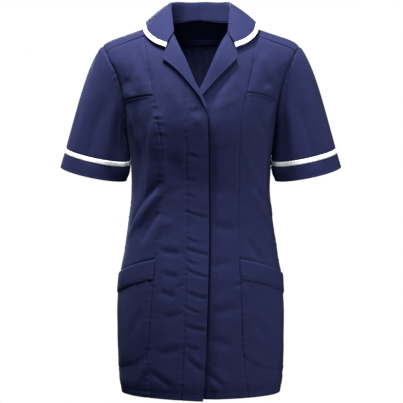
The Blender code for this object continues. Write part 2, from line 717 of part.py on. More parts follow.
def hem_share(side, round_angle, distance):
    """Share of the sleeve's length at a distance above its hem."""
    low, high = 0.5, 1.0
    end = sleeve_point(side, round_angle, 1.0)
    for _ in range(18):
        middle = (low + high) / 2.0
        if (sleeve_point(side, round_angle, middle) - end).length > distance:
            low = middle
        else:
            high = middle
    return high


def sleeve_ring(name, side, start_height, end_height, rows, material, wall=WALL):
    """Part of the sleeve between two heights above its hem; no start height is the armhole."""
    def place(u, v):
        angle = (360.0 * u) % 360.0
        turned = angle if side > 0 else (360.0 - angle) % 360.0
        first = 0.0 if start_height is None else hem_share(side, turned, start_height)
        last = 1.0 if end_height == 0.0 else hem_share(side, turned, end_height)
        return sleeve_point(side, turned, last + (first - last) * v)

    return cloth(name, SLEEVE_COLUMNS, rows, place, material, closed=True, wall=wall)


def make_sleeve(side, word):
    """Sleeve, its white band and its cuff."""
    band_foot = CUFF_HEIGHT + SEAM_GAP
    band_head = band_foot + SLEEVE_TRIM_HEIGHT
    sleeve_ring("sleeve_" + word, side, None, band_head + SEAM_GAP, 8, "navy_cloth")
    sleeve_ring("sleeve_trim_" + word, side, band_head, band_foot, 1, "white_trim", TRIM_WALL)
    sleeve_ring("cuff_" + word, side, CUFF_HEIGHT, 0.0, 2, "navy_cloth")


def make_button(number, level):
    """Button behind the buttonhole strip."""
    across = read(FRONT_EDGE, level) - PLACKET_WIDTH / 2.0
    turn = turn_at(across, level)
    mesh = bpy.data.meshes.new("button")
    bm = bmesh.new()
    bmesh.ops.create_cone(bm, cap_ends=True, segments=16, radius1=BUTTON_RADIUS,
                          radius2=BUTTON_RADIUS, depth=BUTTON_THICKNESS)
    bm.to_mesh(mesh)
    bm.free()
    piece = add_object("button_%d" % number, mesh, "button_navy")
    piece.location = on_shell(turn, level, BUTTON_OUT)
    piece.rotation_mode = "QUATERNION"
    piece.rotation_quaternion = shell_normal(turn, level).to_track_quat("Z", "Y")
    return piece


def main():
    """Clear the scene and make every piece."""
    for other in list(bpy.data.objects):
        bpy.data.objects.remove(other, do_unlink=True)
    bpy.context.scene.collection.children.link(bpy.data.collections.new(COLLECTION))
    for name in MATERIALS:
        make_material(name)
    front_panel("front_right", -1, FRONT_EDGE)
    front_panel("front_left", 1, UNDER_EDGE)
    make_fly_strip()
    for side, word in ((-1, "right"), (1, "left")):
        side_panel("side_upper_" + word, side, True)
        side_panel("side_lower_" + word, side, False)
        hip_pocket("hip_pocket_" + word, side)
        hip_band("hip_band_" + word, side)
        side_back("side_back_" + word, side)
        make_sleeve(side, word)
    lapel("lapel_right", -1, LAPEL_RIGHT, FRONT_EDGE)
    lapel("lapel_left", 1, LAPEL_LEFT, UNDER_EDGE)
    make_yoke()
    make_back()
    make_collar()
    make_collar_trim()
    for number, level in enumerate(BUTTON_LEVELS, start=1):
        make_button(number, level)


main()
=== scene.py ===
import math
from functools import partial

import bmesh
import bpy
import numpy as np
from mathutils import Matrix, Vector


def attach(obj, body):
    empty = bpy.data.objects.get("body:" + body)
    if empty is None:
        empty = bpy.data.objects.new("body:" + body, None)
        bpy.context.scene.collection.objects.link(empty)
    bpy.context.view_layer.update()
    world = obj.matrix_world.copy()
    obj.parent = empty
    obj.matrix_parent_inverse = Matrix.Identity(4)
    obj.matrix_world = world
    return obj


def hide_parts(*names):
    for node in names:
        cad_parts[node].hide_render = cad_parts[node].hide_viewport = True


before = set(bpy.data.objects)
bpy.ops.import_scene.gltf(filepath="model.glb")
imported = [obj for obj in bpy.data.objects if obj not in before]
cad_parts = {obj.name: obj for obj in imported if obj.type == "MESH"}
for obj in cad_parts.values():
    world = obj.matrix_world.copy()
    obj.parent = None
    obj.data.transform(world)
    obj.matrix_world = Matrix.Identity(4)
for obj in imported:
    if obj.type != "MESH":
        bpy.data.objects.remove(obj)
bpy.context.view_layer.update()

print("stage: frame loaded")

def tableOf(rows, plain=()):  # from millimetres to metres, but for the plain columns
    table = np.array(rows, float)
    for column in range(table.shape[1]):
        if column not in plain:
            table[:, column] /= 1000
    return table


# The garment's shell, as in the part's source: a place is a turn in degrees (0 centre front,
# 90 left side seam, 180 centre back) and a level, a height that follows the shoulders' slope.
# Plain columns hold degrees, shares and the collar's distances over the shoulder, which are
# square roots of a level in metres.
squareness = 2.3  # of the ground plan, where 2 is an ellipse
shellTable = tableOf([
    # level, half width, front depth, back depth
    (-722, 157.5, 116, 122), (-690, 162.5, 119, 127), (-620, 163.5, 119, 132), (-560, 163, 118, 133),
    (-500, 161, 115, 128), (-440, 152, 109, 112), (-380, 143.5, 104, 98), (-320, 137.5, 103, 92),
    (-270, 139, 110, 97), (-230, 144, 118, 104), (-190, 150, 123, 110), (-150, 158, 119, 113),
    (-110, 171, 108, 112), (-70, 190, 91, 105), (-45, 208, 74, 94), (-20, 222, 52, 74), (0, 232, 0, 0),
])
shoulderTable = tableOf([
    # across, height
    (0, 38), (35, 30), (65, 18), (117, -1), (152, -13), (184, -25), (196, -34), (232, -60),
])
foldTable = tableOf([
    # turn, level, lean, long, wide, out
    (-57, -367, 370, 60, 6.5, 4), (57, -367, -370, 60, 6.5, 4), (-44, -300, 40, 60, 4, 2.2),
    (66, -290, -60, 70, 5, 2.4), (-62, -190, -90, 70, 5, 2.6), (60, -180, 110, 65, 5, 2.6),
    (-78, -560, -40, 110, 7, 3), (74, -570, 50, 110, 7, 3), (132, -350, 300, 70, 8, 4.5),
    (226, -345, -320, 70, 8, 4.5), (160, -330, 380, 50, 7, 3.5), (204, -312, -340, 50, 7, 3.5),
    (122, -160, -120, 80, 6, 4), (237, -165, 130, 80, 6, 4), (150, -600, 60, 110, 8, 3.5),
    (208, -590, -70, 110, 8, 3.5),
], plain=(0, 2, 4))
armholeTable = tableOf([
    # level, turn
    (-222, 90), (-212, 83), (-196, 78.5), (-172, 74.5), (-136, 70), (-105, 66), (-64, 60.5),
    (-23, 56.2), (0, 55.5),
], plain=(1,))
princessRight = tableOf([
    # level, across
    (-722, 105.5), (-651, 102.5), (-554, 95), (-487, 90), (-391, 83), (-307, 78.5), (-247, 75),
    (-211, 78.5), (-173, 88), (-138, 93.2), (-96, 101), (-18, 112.7),
])
princessLeft = tableOf([
    (-722, 91.5), (-670, 85), (-624, 81), (-514, 78), (-454, 75.5), (-322, 73), (-259, 74.3),
    (-211, 75.5), (-172, 82.2), (-132, 91.3), (-76, 102.6), (-18, 110.7),
])
frontEdge = tableOf([
    # level, across: edge of the lapped front and the roll line above it
    (-722, 4), (-668, 8.1), (-597, 10.8), (-514, 13.6), (-418, 15.8), (-332, 15), (-212, 13.8),
    (-168, 10.5), (-150, 2.5), (-140, -3.2), (-127, -11.3), (-95, -26.8), (-60, -44.3), (-36.5, -53.6),
    (-18, -59),
])
underEdge = tableOf([
    (-722, -23), (-500, -20), (-212, -20), (-168, -16), (-145, -6), (-126, 6), (-95, 22.5), (-60, 39.5),
    (-36.5, 52), (-18, 59),
])
lapelRight = tableOf([
    # along, roll level, outer across, outer level
    (0, -166, 11.2, -174), (0.2, -146, -1, -154), (0.4, -122, -19, -134), (0.7, -85, -47, -105),
    (0.93, -50, -66, -87), (1, -40.5, -74.8, -79),
], plain=(0,))
lapelLeft = tableOf([
    (0, -140, 2, -149), (0.35, -112, 24, -128), (0.7, -78, 44, -109), (0.93, -50, 62, -89.5),
    (1, -37.5, 68, -82),
], plain=(0,))
collarTable = tableOf([
    # station, neck across, neck over, roll x, roll y, roll z, edge across, edge over
    (0, 53.5, -0.188, 53, -70, -12, 66.5, -0.25), (0.14, 59, -0.134, 55, -52, 12, 88, -0.215),
    (0.28, 64, -0.06, 57.5, -25, 40, 108.5, -0.135), (0.42, 66, 0, 58, 2, 52, 113.7, -0.005),
    (0.6, 60, 0.047, 53, 30, 57, 101, 0.1), (0.8, 36, 0.094, 32, 52, 60, 64, 0.168),
    (1, 0, 0.112, 0, 60, 61, 0, 0.19),
], plain=(0, 2, 7))
backSeam = tableOf([
    # across, level
    (0, -57.5), (35, -50), (65, -43), (117, -39), (152, -42), (190, -48),
])
levels = {"hem": -0.722, "underarm": -0.222, "frontSeam": -0.018, "backSeam": -0.048,
          "round": -0.02, "ridge": -0.0012, "slopeFoot": -0.21, "lapHead": -0.085}
lap = {"depth": 0.0064, "run": 0.05, "width": 0.036, "rise": 0.02}
pleat = {"half": 0.012, "fold": 0.0016, "depth": 0.0028, "head": -0.06, "foot": -0.3}
breastMouths = {-1: {"inner": -0.1415, "middle": -0.1415, "outer": -0.1455},
                1: {"inner": -0.137, "middle": -0.138, "outer": -0.148}}
hipMouth = {"inner": -0.4565, "middle": -0.4725, "outer": -0.49}
hipFoot = {"inner": -0.64, "middle": -0.664, "outer": -0.688}
sleeveShape = {"pull": 0.52, "set": 0.85, "lean": 0.33, "across": 0.216, "along": 0.006,
               "height": -0.288, "halfWidth": 0.0665, "halfDepth": 0.05, "tilt": 0.2, "rise": 0.21}


def ease(t):
    t = np.clip(t, 0, 1)
    return t * t * (3 - 2 * t)


def bell(distance, wide):
    return np.exp(-(distance / wide) ** 2)


def between(a, b, share):
    return a + (b - a) * share


def alike(a, b):  # as two arrays of one shape
    return np.broadcast_arrays(np.asarray(a, float), np.asarray(b, float))


def stepLengths(points, axis):
    return np.linalg.norm(np.diff(points, axis=axis), axis=-1)


def running(steps):  # way covered at each point
    return np.concatenate([[0], np.cumsum(steps)])


def folded(run, shape):  # cloth folded where run is 0: way from the fold, and depth inside it
    bend = np.sqrt(run ** 2 + shape["round"] ** 2) - shape["round"]
    return bend, -shape["inside"] / 2 * (1 - np.tanh(run / shape["round"]))


def wrapped(turn):  # from -180 to 180
    return (turn + 180) % 360 - 180


def readTable(table, key, column=1):  # smooth, without overshoot
    xs, ys = table[:, 0], table[:, column]
    key = np.clip(np.asarray(key, float), xs[0], xs[-1])
    i = np.clip(np.searchsorted(xs, key) - 1, 0, len(xs) - 2)
    slope = np.diff(ys) / np.diff(xs)
    tangent = np.empty(len(xs))
    tangent[0], tangent[-1] = slope[0], slope[-1]
    before, after = slope[:-1], slope[1:]
    total = np.where(before + after == 0, 1, before + after)
    tangent[1:-1] = np.where(before * after <= 0, 0, 2 * before * after / total)
    span = xs[i + 1] - xs[i]
    t = (key - xs[i]) / span
    a, b = ys[i], ys[i + 1]
    ta, tb = tangent[i] * span, tangent[i + 1] * span
    return a + ta * t + (3 * (b - a) - 2 * ta - tb) * t ** 2 + (2 * (a - b) + ta + tb) * t ** 3


def foldOut(turn, level):
    total = 0
    for middle, atLevel, lean, long, wide, out in foldTable:
        t = np.clip((level - atLevel) / long, -1, 1)
        aside = wrapped(turn - middle - lean * (level - atLevel))
        total = total + out * bell(aside, wide) * (1 - t * t) ** 2
    return total


def shellPoint(turn, level):
    turn, level = alike(turn, level)
    half = readTable(shellTable, level, 1)
    rounded = np.sqrt(np.clip(level / levels["round"], 0, 1))
    low = np.minimum(level, levels["round"])
    angle = np.radians(turn)
    s, c = np.sin(angle), np.cos(angle)
    across = np.sign(s) * np.abs(s) ** (2 / squareness) * half
    depth = np.abs(c) ** (2 / squareness)
    along = np.where(c > 0, -readTable(shellTable, low, 2), readTable(shellTable, low, 3))
    along = along * rounded * depth
    fade = ease((level - levels["slopeFoot"]) / (levels["round"] - levels["slopeFoot"]))
    grown = 1 + foldOut(turn, level) / np.maximum(0.05, np.hypot(across, along))
    across, along = across * grown, along * grown
    height = level + readTable(shoulderTable, np.abs(across)) * fade
    return np.stack([across, along, height], axis=-1)


def unit(v):
    return v / np.maximum(np.linalg.norm(v, axis=-1, keepdims=True), 1e-12)


def shellNormal(turn, level):
    turn, level = alike(turn, level)
    low = level - 0.0015
    high = np.minimum(level + 0.0015, -0.0003)
    side = shellPoint(turn + 0.6, level) - shellPoint(turn - 0.6, level)
    up = shellPoint(turn, high) - shellPoint(turn, low)
    return unit(np.cross(side, up))


def onShell(turn, level, out=0):
    return shellPoint(turn, level) + shellNormal(turn, level) * np.asarray(out)[..., None]


def turnAt(across, level):
    share = np.minimum(1, np.abs(across) / readTable(shellTable, level, 1))
    return np.sign(across) * np.degrees(np.arcsin(share ** (squareness / 2)))


def armholeTurn(level):
    return np.where(level > levels["underarm"], readTable(armholeTable, level), 90)


def princessTurn(side, level):
    return turnAt(readTable(princessLeft if side > 0 else princessRight, level), level)


def metresPerDegree(turn, level):
    return np.linalg.norm(shellPoint(turn + 0.5, level) - shellPoint(turn - 0.5, level), axis=-1)


def degreesFor(turn, level, distance):  # a distance along the shell, as a turn
    return distance / np.maximum(metresPerDegree(turn, level), 1e-5)


def overShoulder(across, over, out=0):  # over: below 0 in front of the shoulder line
    across, over = alike(across, over)
    level = -np.maximum(over * over, 1e-7)
    turn = turnAt(across, level)
    turn = np.where(over > 0, np.where(across < 0, -180, 180) - turn, turn)
    normal = shellNormal(turn, np.minimum(level, levels["ridge"]))
    return shellPoint(turn, level) + normal * np.asarray(out)[..., None]


# Creases, each between two places by distance from the centre and level
frontCreases = tableOf([
    # across, level, across, level, wide, out
    # slanting creases of the placket, from its stitches down to the edge
    (-28, -364, 13, -376, 2.4, -1.3), (-28, -416, -8, -424, 2.6, -1.2),
    (-26, -437, 13, -448, 3.4, -1.3), (-28, -458, -10, -466, 2.6, -1.2),
    (-28, -476, 11, -491, 2.6, -1.4), (-26, -520, 9, -532, 3.6, -1.3), (-28, -550, -6, -558, 2.6, -1.3),
    (-28, -584, 8, -594, 3.6, -1.3), (-28, -622, -6, -630, 3.2, -1), (-21, -254, -4, -261, 3.2, -1.4),
    (-26, -300, -10, -305, 3, -0.8), (-26, -332, -12, -337, 3, -0.8),
    # hidden top button pressing through
    (-14, -189, 2, -189, 7.5, 1.6), (-20, -176, -1, -172, 3.6, -1),
    # wearer's right front
    (-78, -440, -42, -446, 6.5, -1.6), (-74, -484, -48, -490, 5.5, -1.2),
    (-46, -512, -32, -503, 3.6, -1), (-78, -520, -50, -529, 7, -1.4), (-74, -390, -56, -384, 6, 1),
    (-66, -570, -36, -560, 7, -1), (-76, -640, -40, -628, 7.5, -1.2), (-70, -330, -36, -322, 8.5, -1),
    (-68, -262, -36, -276, 9, -0.9), (-90, -184, -74, -188, 3, -1.3), (-88, -194, -70, -199, 3, -1.1),
    (-94, -166, -80, -168, 3, -1.2), (-80, -214, -68, -222, 3.6, -1), (-70, -120, -40, -170, 9, 1.2),
    (-94, -676, -60, -700, 6, -1.6), (-25.5, -646, 1, -670, 4, -1.6),
    # wearer's left front
    (12, -674, 42, -700, 5, -1.6), (26, -392, 60, -400, 9, -1.4), (66, -506, 78, -503, 3.6, -1),
    (24, -470, 56, -462, 8, -1), (30, -560, 68, -548, 9, -1.2), (22, -610, 56, -624, 8.5, -1.1),
    (26, -330, 64, -318, 9, -1), (34, -250, 64, -236, 8.5, -1), (20, -172, 70, -150, 7, 1),
    (60, -112, 88, -140, 7.5, 1),
    # side fronts: waist folds, pocket drape, chest beside the armholes
    (-79, -322, -124, -394, 8, 2.2), (-87, -312, -138, -392, 7.5, -5), (-112, -236, -106, -330, 9, 0.8),
    (-98, -176, -110, -250, 7, -1.4), (-120, -150, -132, -215, 10, -1), (100, -326, 140, -404, 5, 2.8),
    (112, -322, 143, -380, 7, -2.6), (92, -420, 116, -458, 7, -2), (86, -250, 104, -310, 8, 1.4),
    (122, -236, 118, -310, 6, -1.6), (106, -170, 128, -216, 8, -1.6), (104, -70, 134, -118, 8, -1.4),
    (-146, -98, -130, -132, 11, -2.4), (-122, -185, -118, -300, 19, -3.4),
    (-84, -165, -77, -305, 12, 3.4), (-80, -362, -116, -420, 9, -3), (-126, -46, -98, -120, 7, -1.2),
    (-138, -60, -112, -116, 8, 0.8), (136, -106, 114, -126, 10, -1.2), (116, -46, 98, -112, 5.5, -1.4),
    (130, -60, 146, -120, 7, 1.4), (-124, -62, -138, -112, 9, -0.7), (-108, -60, -118, -110, 7, 1.2),
    (-116, -560, -132, -600, 9, -1.2), (104, -572, 128, -616, 9, -1.2), (-104, -660, -128, -700, 8, 1),
    (108, -640, 132, -690, 8, 1),
    # waist hollow under the arms
    (112, -336, 126, -384, 11, -2),
])
backCreases = tableOf([
    # pleat folds of the back, seen from inside through the neck
    (10.5, -62, 10, -230, 1.7, 6.8), (-10.5, -62, -10, -240, 1.7, 6.8), (20, -64, 22.5, -190, 2, 4.4),
    (-20, -64, -23.5, -200, 2, 4.8),
    # back: folds into the hollow of the waist and under the yoke
    (30, -110, 34, -270, 8, -2.2), (-28, -100, -36, -250, 8, -2), (58, -120, 50, -220, 9, 1.8),
    (-62, -110, -54, -230, 9, 1.8), (134, -290, 82, -352, 8, -3), (-134, -282, -88, -360, 8, -3),
    (128, -350, 66, -392, 7, -2.6), (-126, -330, -60, -380, 7, -2.6), (96, -268, 30, -330, 7.5, -2.2),
    (-90, -262, -26, -312, 7.5, -2.2), (140, -180, 118, -270, 9, 2.2), (-142, -170, -120, -262, 9, 2.2),
    (60, -520, 88, -700, 11, 2), (-50, -500, -80, -690, 11, 2), (120, -520, 132, -660, 10, -1.8),
    (-116, -530, -130, -680, 10, -1.8), (10, -560, 14, -700, 10, -1.4),
])
creases = np.concatenate([frontCreases, backCreases])
creaseRun = {"scale": 0.0024, "bow": 0.1, "beside": 0.45, "wave": 0.00034}


def creaseOut(turn, level):
    turned = wrapped(turn)
    total = np.zeros(np.broadcast(turn, level).shape)
    for number, (acrossA, levelA, acrossB, levelB, wide, out) in enumerate(creases):
        turnA, turnB = float(turnAt(acrossA, levelA)), float(turnAt(acrossB, levelB))
        if number >= len(frontCreases):
            turnA, turnB = (math.copysign(180, t) - t for t in (turnA, turnB))
        a = np.array([turnA * creaseRun["scale"], levelA])
        b = np.array([turnB * creaseRun["scale"], levelB])
        run = b - a
        length = float(np.hypot(*run))
        px, pz = turned * creaseRun["scale"] - a[0], level - a[1]
        t = (px * run[0] + pz * run[1]) / length ** 2
        d = (px * run[1] - pz * run[0]) / length
        near = (np.abs(d) < 5 * wide) & (t > -0.4) & (t < 1.4)
        if not near.any():
            continue
        bow = d[near] + creaseRun["bow"] * length * (t[near] - 0.5) ** 2
        ends = bell(np.maximum(0, np.abs(t[near] - 0.5) - 0.32), 0.2)
        shape = bell(bow, wide) - creaseRun["beside"] * bell(bow + 2 * wide, 1.5 * wide)
        total[near] += out * shape * ends
    return total


def waviness(turn, level):  # soft unevenness of cloth that has been worn
    a = np.radians(turn)
    slow = np.sin(9 * a + 31 * level) * np.sin(57 * level - 4 * a + 1.7)
    quick = np.sin(23 * a - 83 * level + 0.4) * np.sin(41 * level + 13 * a)
    return creaseRun["wave"] * (slow + 0.6 * quick)


sewing = {"dip": 0.0012, "reach": 0.0018, "pucker": 0.00045, "puckerReach": 0.007, "sidePucker": 0.0006,
          "stitchLine": 0.042, "stitchDip": 0.0014, "stitchReach": 0.0015,
          "length": 0.0026, "pitch": 0.0034, "radius": 0.0002, "sink": 0.00018, "lift": 0.00052}
backPrincess = tableOf([
    # level, across
    (-722, 98), (-600, 94), (-500, 88), (-400, 78), (-320, 72), (-250, 76), (-180, 86), (-110, 98),
    (-48, 106),
])


# Little gathers that sewing draws up beside a seam; along and distance are in metres
def puckers(along, distance, seed, amount=sewing["pucker"], reach=sewing["puckerReach"]):
    wave = (np.sin(620 * along + seed) + 0.8 * np.sin(410 * along + 2.1 * seed)
            + 0.6 * np.sin(890 * along + 0.7 * seed))
    swell = 0.35 + 0.65 * np.sin(47 * along + 1.3 * seed) ** 2
    return amount * wave * swell * bell(distance, reach)


def seamDip(distance, deep=sewing["dip"], reach=sewing["reach"]):
    return -deep * bell(distance, reach)


def stitchDip(distance, shape):  # a row of stitches draws the cloth in
    return -shape["stitchDip"] * bell(distance - shape["stitchAt"], shape.get("stitchWide", 0.0014))


def placketAcross(level):  # row of stitches along the placket
    return readTable(frontEdge, np.minimum(level, -0.2)) - sewing["stitchLine"]


def sewnOut(turn, level):  # what the seams and rows of stitches do to the body's surface
    turned = wrapped(turn)
    scale = metresPerDegree(turned, level)
    total = np.zeros(turned.shape)
    for side in (-1, 1):
        gathered = 0.45 if side > 0 else 0.8 + bell(level + 0.195, 0.032)  # more on the wearer's right
        behind = side * (180 - turnAt(readTable(backPrincess, level), level))
        for at, seed, amount, where in (
                (side * princessTurn(side, level), 1, sewing["pucker"] * gathered, True),
                (side * 90, 3, sewing["sidePucker"], level < levels["underarm"] + 0.002),
                (behind, 5, sewing["pucker"], np.abs(turned) > 92)):
            d = (turned - at) * scale
            total += np.where(where, seamDip(d) + puckers(level, d, seed + side, amount), 0)
    facing = np.minimum(np.abs(turned), 180 - np.abs(turned))
    d = (armholeTurn(level) - facing) * scale
    arm = seamDip(d, 0.0026, 0.0028) + puckers(level, d, 2.2, 0.0005, 0.009)
    total += np.where(level > levels["underarm"], arm, 0)
    d = (level - levels["frontSeam"]) * 1.7
    total += np.where(np.abs(turned) < 90, seamDip(d, 0.0012, 0.0022), 0)
    d = (turned - turnAt(placketAcross(level), level)) * scale
    row = seamDip(d, sewing["stitchDip"], sewing["stitchReach"]) + puckers(level, d, 4.4, 0.00028)
    row += 0.0005 * ease(d / 0.004) * ease((0.046 - d) / 0.004)
    total += np.where((np.abs(turned) < 60) & (level < -0.13), row, 0)
    return total


def seamHold(turn, level):  # the armhole and yoke seams hold the cloth still
    turned = wrapped(turn)
    facing = np.minimum(np.abs(turned), 180 - np.abs(turned))
    d = (armholeTurn(level) - facing) * metresPerDegree(turned, level)
    arm = np.where(level > levels["underarm"], ease(d / 0.02), 1)
    top = np.where(np.abs(turned) > 90, levels["backSeam"], levels["frontSeam"])
    return arm * ease((top + 0.004 - level) / 0.02)


def bodyPoint(turn, level, out=0):
    turn, level = alike(turn, level)
    soft = creaseOut(turn, level) + waviness(turn, level)
    return onShell(turn, level, soft * seamHold(turn, level) + sewnOut(turn, level) + out)


def dense(t, stops, amount=3, reach=0.03):  # even shares, drawn together at the stops
    s = np.linspace(0, 1, 1201)
    density = np.ones_like(s)
    for stop in stops:
        density += amount * bell(s - stop, reach)
    total = running((density[1:] + density[:-1]) / 2)
    return np.interp(t, total / total[-1], s)


sceneRoot = bpy.data.collections.new("tunic_looks")
bpy.context.scene.collection.children.link(sceneRoot)
spacing = 0.0026


def gridMesh(name, columns, rows, place, closed=False):
    bm = bmesh.new()
    bmesh.ops.create_grid(bm, x_segments=columns, y_segments=rows, size=1)
    mesh = bpy.data.meshes.new(name)
    bm.to_mesh(mesh)
    bm.free()
    count = len(mesh.vertices)
    flat = np.empty(count * 3)
    mesh.vertices.foreach_get("co", flat)
    flat = flat.reshape(count, 3)
    column, row = (np.round((flat[:, k] + 1) / 2 * n).astype(int) for k, n in enumerate((columns, rows)))
    places = place(column / columns, row / rows)
    mesh.vertices.foreach_set("co", places.ravel())
    table = np.empty((rows + 1, columns + 1, 3))
    table[row, column] = places
    across, up = stepLengths(table, 1), stepLengths(table, 0)
    wide, long = float(across.sum(axis=1).max()), float(up.sum(axis=0).max())
    runU, runV = running(across.mean(axis=0)), running(up.mean(axis=1))
    layer = mesh.uv_layers.new(name="cloth")
    corner = np.empty(len(mesh.loops), int)
    mesh.loops.foreach_get("vertex_index", corner)
    metres = np.stack([runU[column[corner]], runV[row[corner]]], axis=-1)
    layer.data.foreach_set("uv", metres.ravel())
    if closed:
        bm = bmesh.new()
        bm.from_mesh(mesh)
        bmesh.ops.remove_doubles(bm, verts=bm.verts, dist=1e-6)
        bm.to_mesh(mesh)
        bm.free()
    mesh.update()
    return mesh, wide, long


def addPiece(name, mesh):
    piece = bpy.data.objects.new(name, mesh)
    sceneRoot.objects.link(piece)
    mesh.shade_smooth()
    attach(piece, "root")
    return piece


def sheet(name, node, size, place, material, wall=0.001, closed=False):
    # size is the piece's rough width and height; the grid follows from the spacing
    columns, rows = (max(4, round(x / spacing)) for x in size)
    mesh, wide, long = gridMesh(name, columns, rows, place, closed)
    mesh.materials.append(material)
    piece = addPiece(name, mesh)
    thick = piece.modifiers.new("wall", "SOLIDIFY")
    thick.thickness = wall
    thick.offset = 0
    thick.use_even_offset = False
    if node:
        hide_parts(node)
    return piece


# Colours are linear; bands and depth belong to the weave; the edge shade is painted shade, darkening the
# colour towards the outline where the cloth turns away
cloths = {
    "navy_twill": {"dark": (0.0122, 0.0138, 0.05), "light": (0.0158, 0.0176, 0.062), "rough": 0.78,
                   "sheen": 0.1, "tint": (0.34, 0.42, 0.95), "bands": 900, "depth": 0.00006},
    "white_binding": {"dark": (0.82, 0.84, 0.9), "light": (0.9, 0.91, 0.95), "rough": 0.75,
                      "sheen": 0.1, "tint": (1, 1, 1), "bands": 700, "depth": 0.00008, "paintedEdgeShade": 1},
    "navy_thread": {"dark": (0.009, 0.01, 0.034), "light": (0.012, 0.013, 0.044), "rough": 0.6,
                    "sheen": 0.1, "tint": (0.34, 0.42, 0.95), "bands": 1500, "depth": 0.00003},
}
clothGrain = {"fuzz": 0.00012, "fleck": (0.73, 1.27)}
buttonLook = {"dark": (0.012, 0.013, 0.032), "light": (0.018, 0.02, 0.046), "rough": 0.32, "cloud": 180}


def newMaterial(name):
    material = bpy.data.materials.new(name)
    material.use_nodes = True
    return material, material.node_tree, material.node_tree.nodes["Principled BSDF"]


def addNode(tree, kind, wires=(), **settings):  # wires: pairs of input socket and source
    node = tree.nodes.new(kind)
    for key, value in settings.items():
        if hasattr(node, key):
            setattr(node, key, value)
        else:
            node.inputs[key.replace("_", " ")].default_value = value
    for socket, source in wires:
        tree.links.new(source, node.inputs[socket])
    return node


def scaled(tree, colour, source, low, high, fromShade, toShade):  # a colour, darker or lighter
    shade = addNode(tree, "ShaderNodeMapRange", [("Value", source)], From_Min=low, From_Max=high,
                    To_Min=fromShade, To_Max=toShade)
    wires = [(0, colour), ("Scale", shade.outputs["Result"])]
    return addNode(tree, "ShaderNodeVectorMath", wires, operation="SCALE").outputs["Vector"]


def blended(tree, source, dark, light):  # from one colour to another
    mix = addNode(tree, "ShaderNodeMix", [(0, source)], data_type="RGBA")
    mix.inputs[6].default_value = (*dark, 1)
    mix.inputs[7].default_value = (*light, 1)
    return mix.outputs[2]


def wovenCloth(name, dark, light, rough, sheen, tint, bands, depth, paintedEdgeShade=0.25):
    material, tree, shader = newMaterial(name)
    place = addNode(tree, "ShaderNodeTexCoord").outputs
    cloud = addNode(tree, "ShaderNodeTexNoise", [("Vector", place["Object"])], Scale=22, Detail=4)
    colour = blended(tree, cloud.outputs["Fac"], dark, light)
    fleck = addNode(tree, "ShaderNodeTexNoise", [("Vector", place["Object"])], Scale=310, Detail=3,
                    Roughness=0.7)
    edge = addNode(tree, "ShaderNodeLayerWeight", Blend=0.35)
    colour = scaled(tree, colour, fleck.outputs["Fac"], 0.3, 0.7, *clothGrain["fleck"])
    # painted shade: the colour darkens towards the outline, where the cloth turns away from view
    colour = scaled(tree, colour, edge.outputs["Facing"], 0.35, 0.85, 1, paintedEdgeShade)
    weave = addNode(tree, "ShaderNodeTexWave", [("Vector", place["UV"])], bands_direction="DIAGONAL",
                    Scale=bands, Distortion=0.6)
    grain = addNode(tree, "ShaderNodeTexNoise", [("Vector", place["Object"])], Scale=900, Detail=2)
    fine = addNode(tree, "ShaderNodeBump", [("Height", weave.outputs["Fac"])], Strength=0.8,
                   Distance=depth)
    wires = [("Height", grain.outputs["Fac"]), ("Normal", fine.outputs["Normal"])]
    fuzzy = addNode(tree, "ShaderNodeBump", wires, Strength=0.6, Distance=clothGrain["fuzz"])
    for socket, source in (("Base Color", colour), ("Normal", fuzzy.outputs["Normal"])):
        tree.links.new(source, shader.inputs[socket])
    for socket, value in (("Roughness", rough), ("Specular IOR Level", 0.2), ("Sheen Weight", sheen),
                          ("Sheen Roughness", 0.5), ("Specular Tint", (*tint, 1)),
                          ("Sheen Tint", (*tint, 1))):
        shader.inputs[socket].default_value = value
    return material


navyCloth, whiteCloth, navyThread = (wovenCloth(name, **look) for name, look in cloths.items())
buttonPlastic, buttonTree, buttonShader = newMaterial("button_plastic")
buttonCloud = addNode(buttonTree, "ShaderNodeTexNoise", Scale=buttonLook["cloud"]).outputs["Fac"]
buttonColour = blended(buttonTree, buttonCloud, buttonLook["dark"], buttonLook["light"])
buttonTree.links.new(buttonColour, buttonShader.inputs["Base Color"])
buttonShader.inputs["Roughness"].default_value = buttonLook["rough"]
print("stage: materials made")


# Body panels. Each hem is folded up inside; share runs from the inner to the outer edge.
hemFold = {"turnUp": 0.02, "inside": 0.0017, "round": 0.0008, "stitchAt": 0.013,
           "stitchDip": 0.0006, "stitchWide": 0.0016, "droopWide": 0.15, "droopFrom": -0.6}
panelTop = {"front": -0.0183, "back": -0.0483, "lap": 0.0003}


def hemPath(v, high):  # levels from the inside of the turned hem to the top, and how far out
    total = high - levels["hem"] + hemFold["turnUp"]
    fold = hemFold["turnUp"] / total
    run = dense(v, (0, fold, 1), 3, 0.012) * total - hemFold["turnUp"]
    bend, inside = folded(run, hemFold)
    return levels["hem"] + bend, inside + stitchDip(run, hemFold)


def hemDroop(across, level, out):  # the front hems hang lower towards the front edges
    aside = np.clip(1 - np.abs(across) / hemFold["droopWide"], 0, 1)
    return level - out * aside * ease((hemFold["droopFrom"] - level) / 0.1)


frontEdgeFold = {"width": 0.0032, "inside": 0.0014, "round": 0.0007, "droop": 0.0068,
                 "underDroop": 0.0036, "gap": 0.0045}


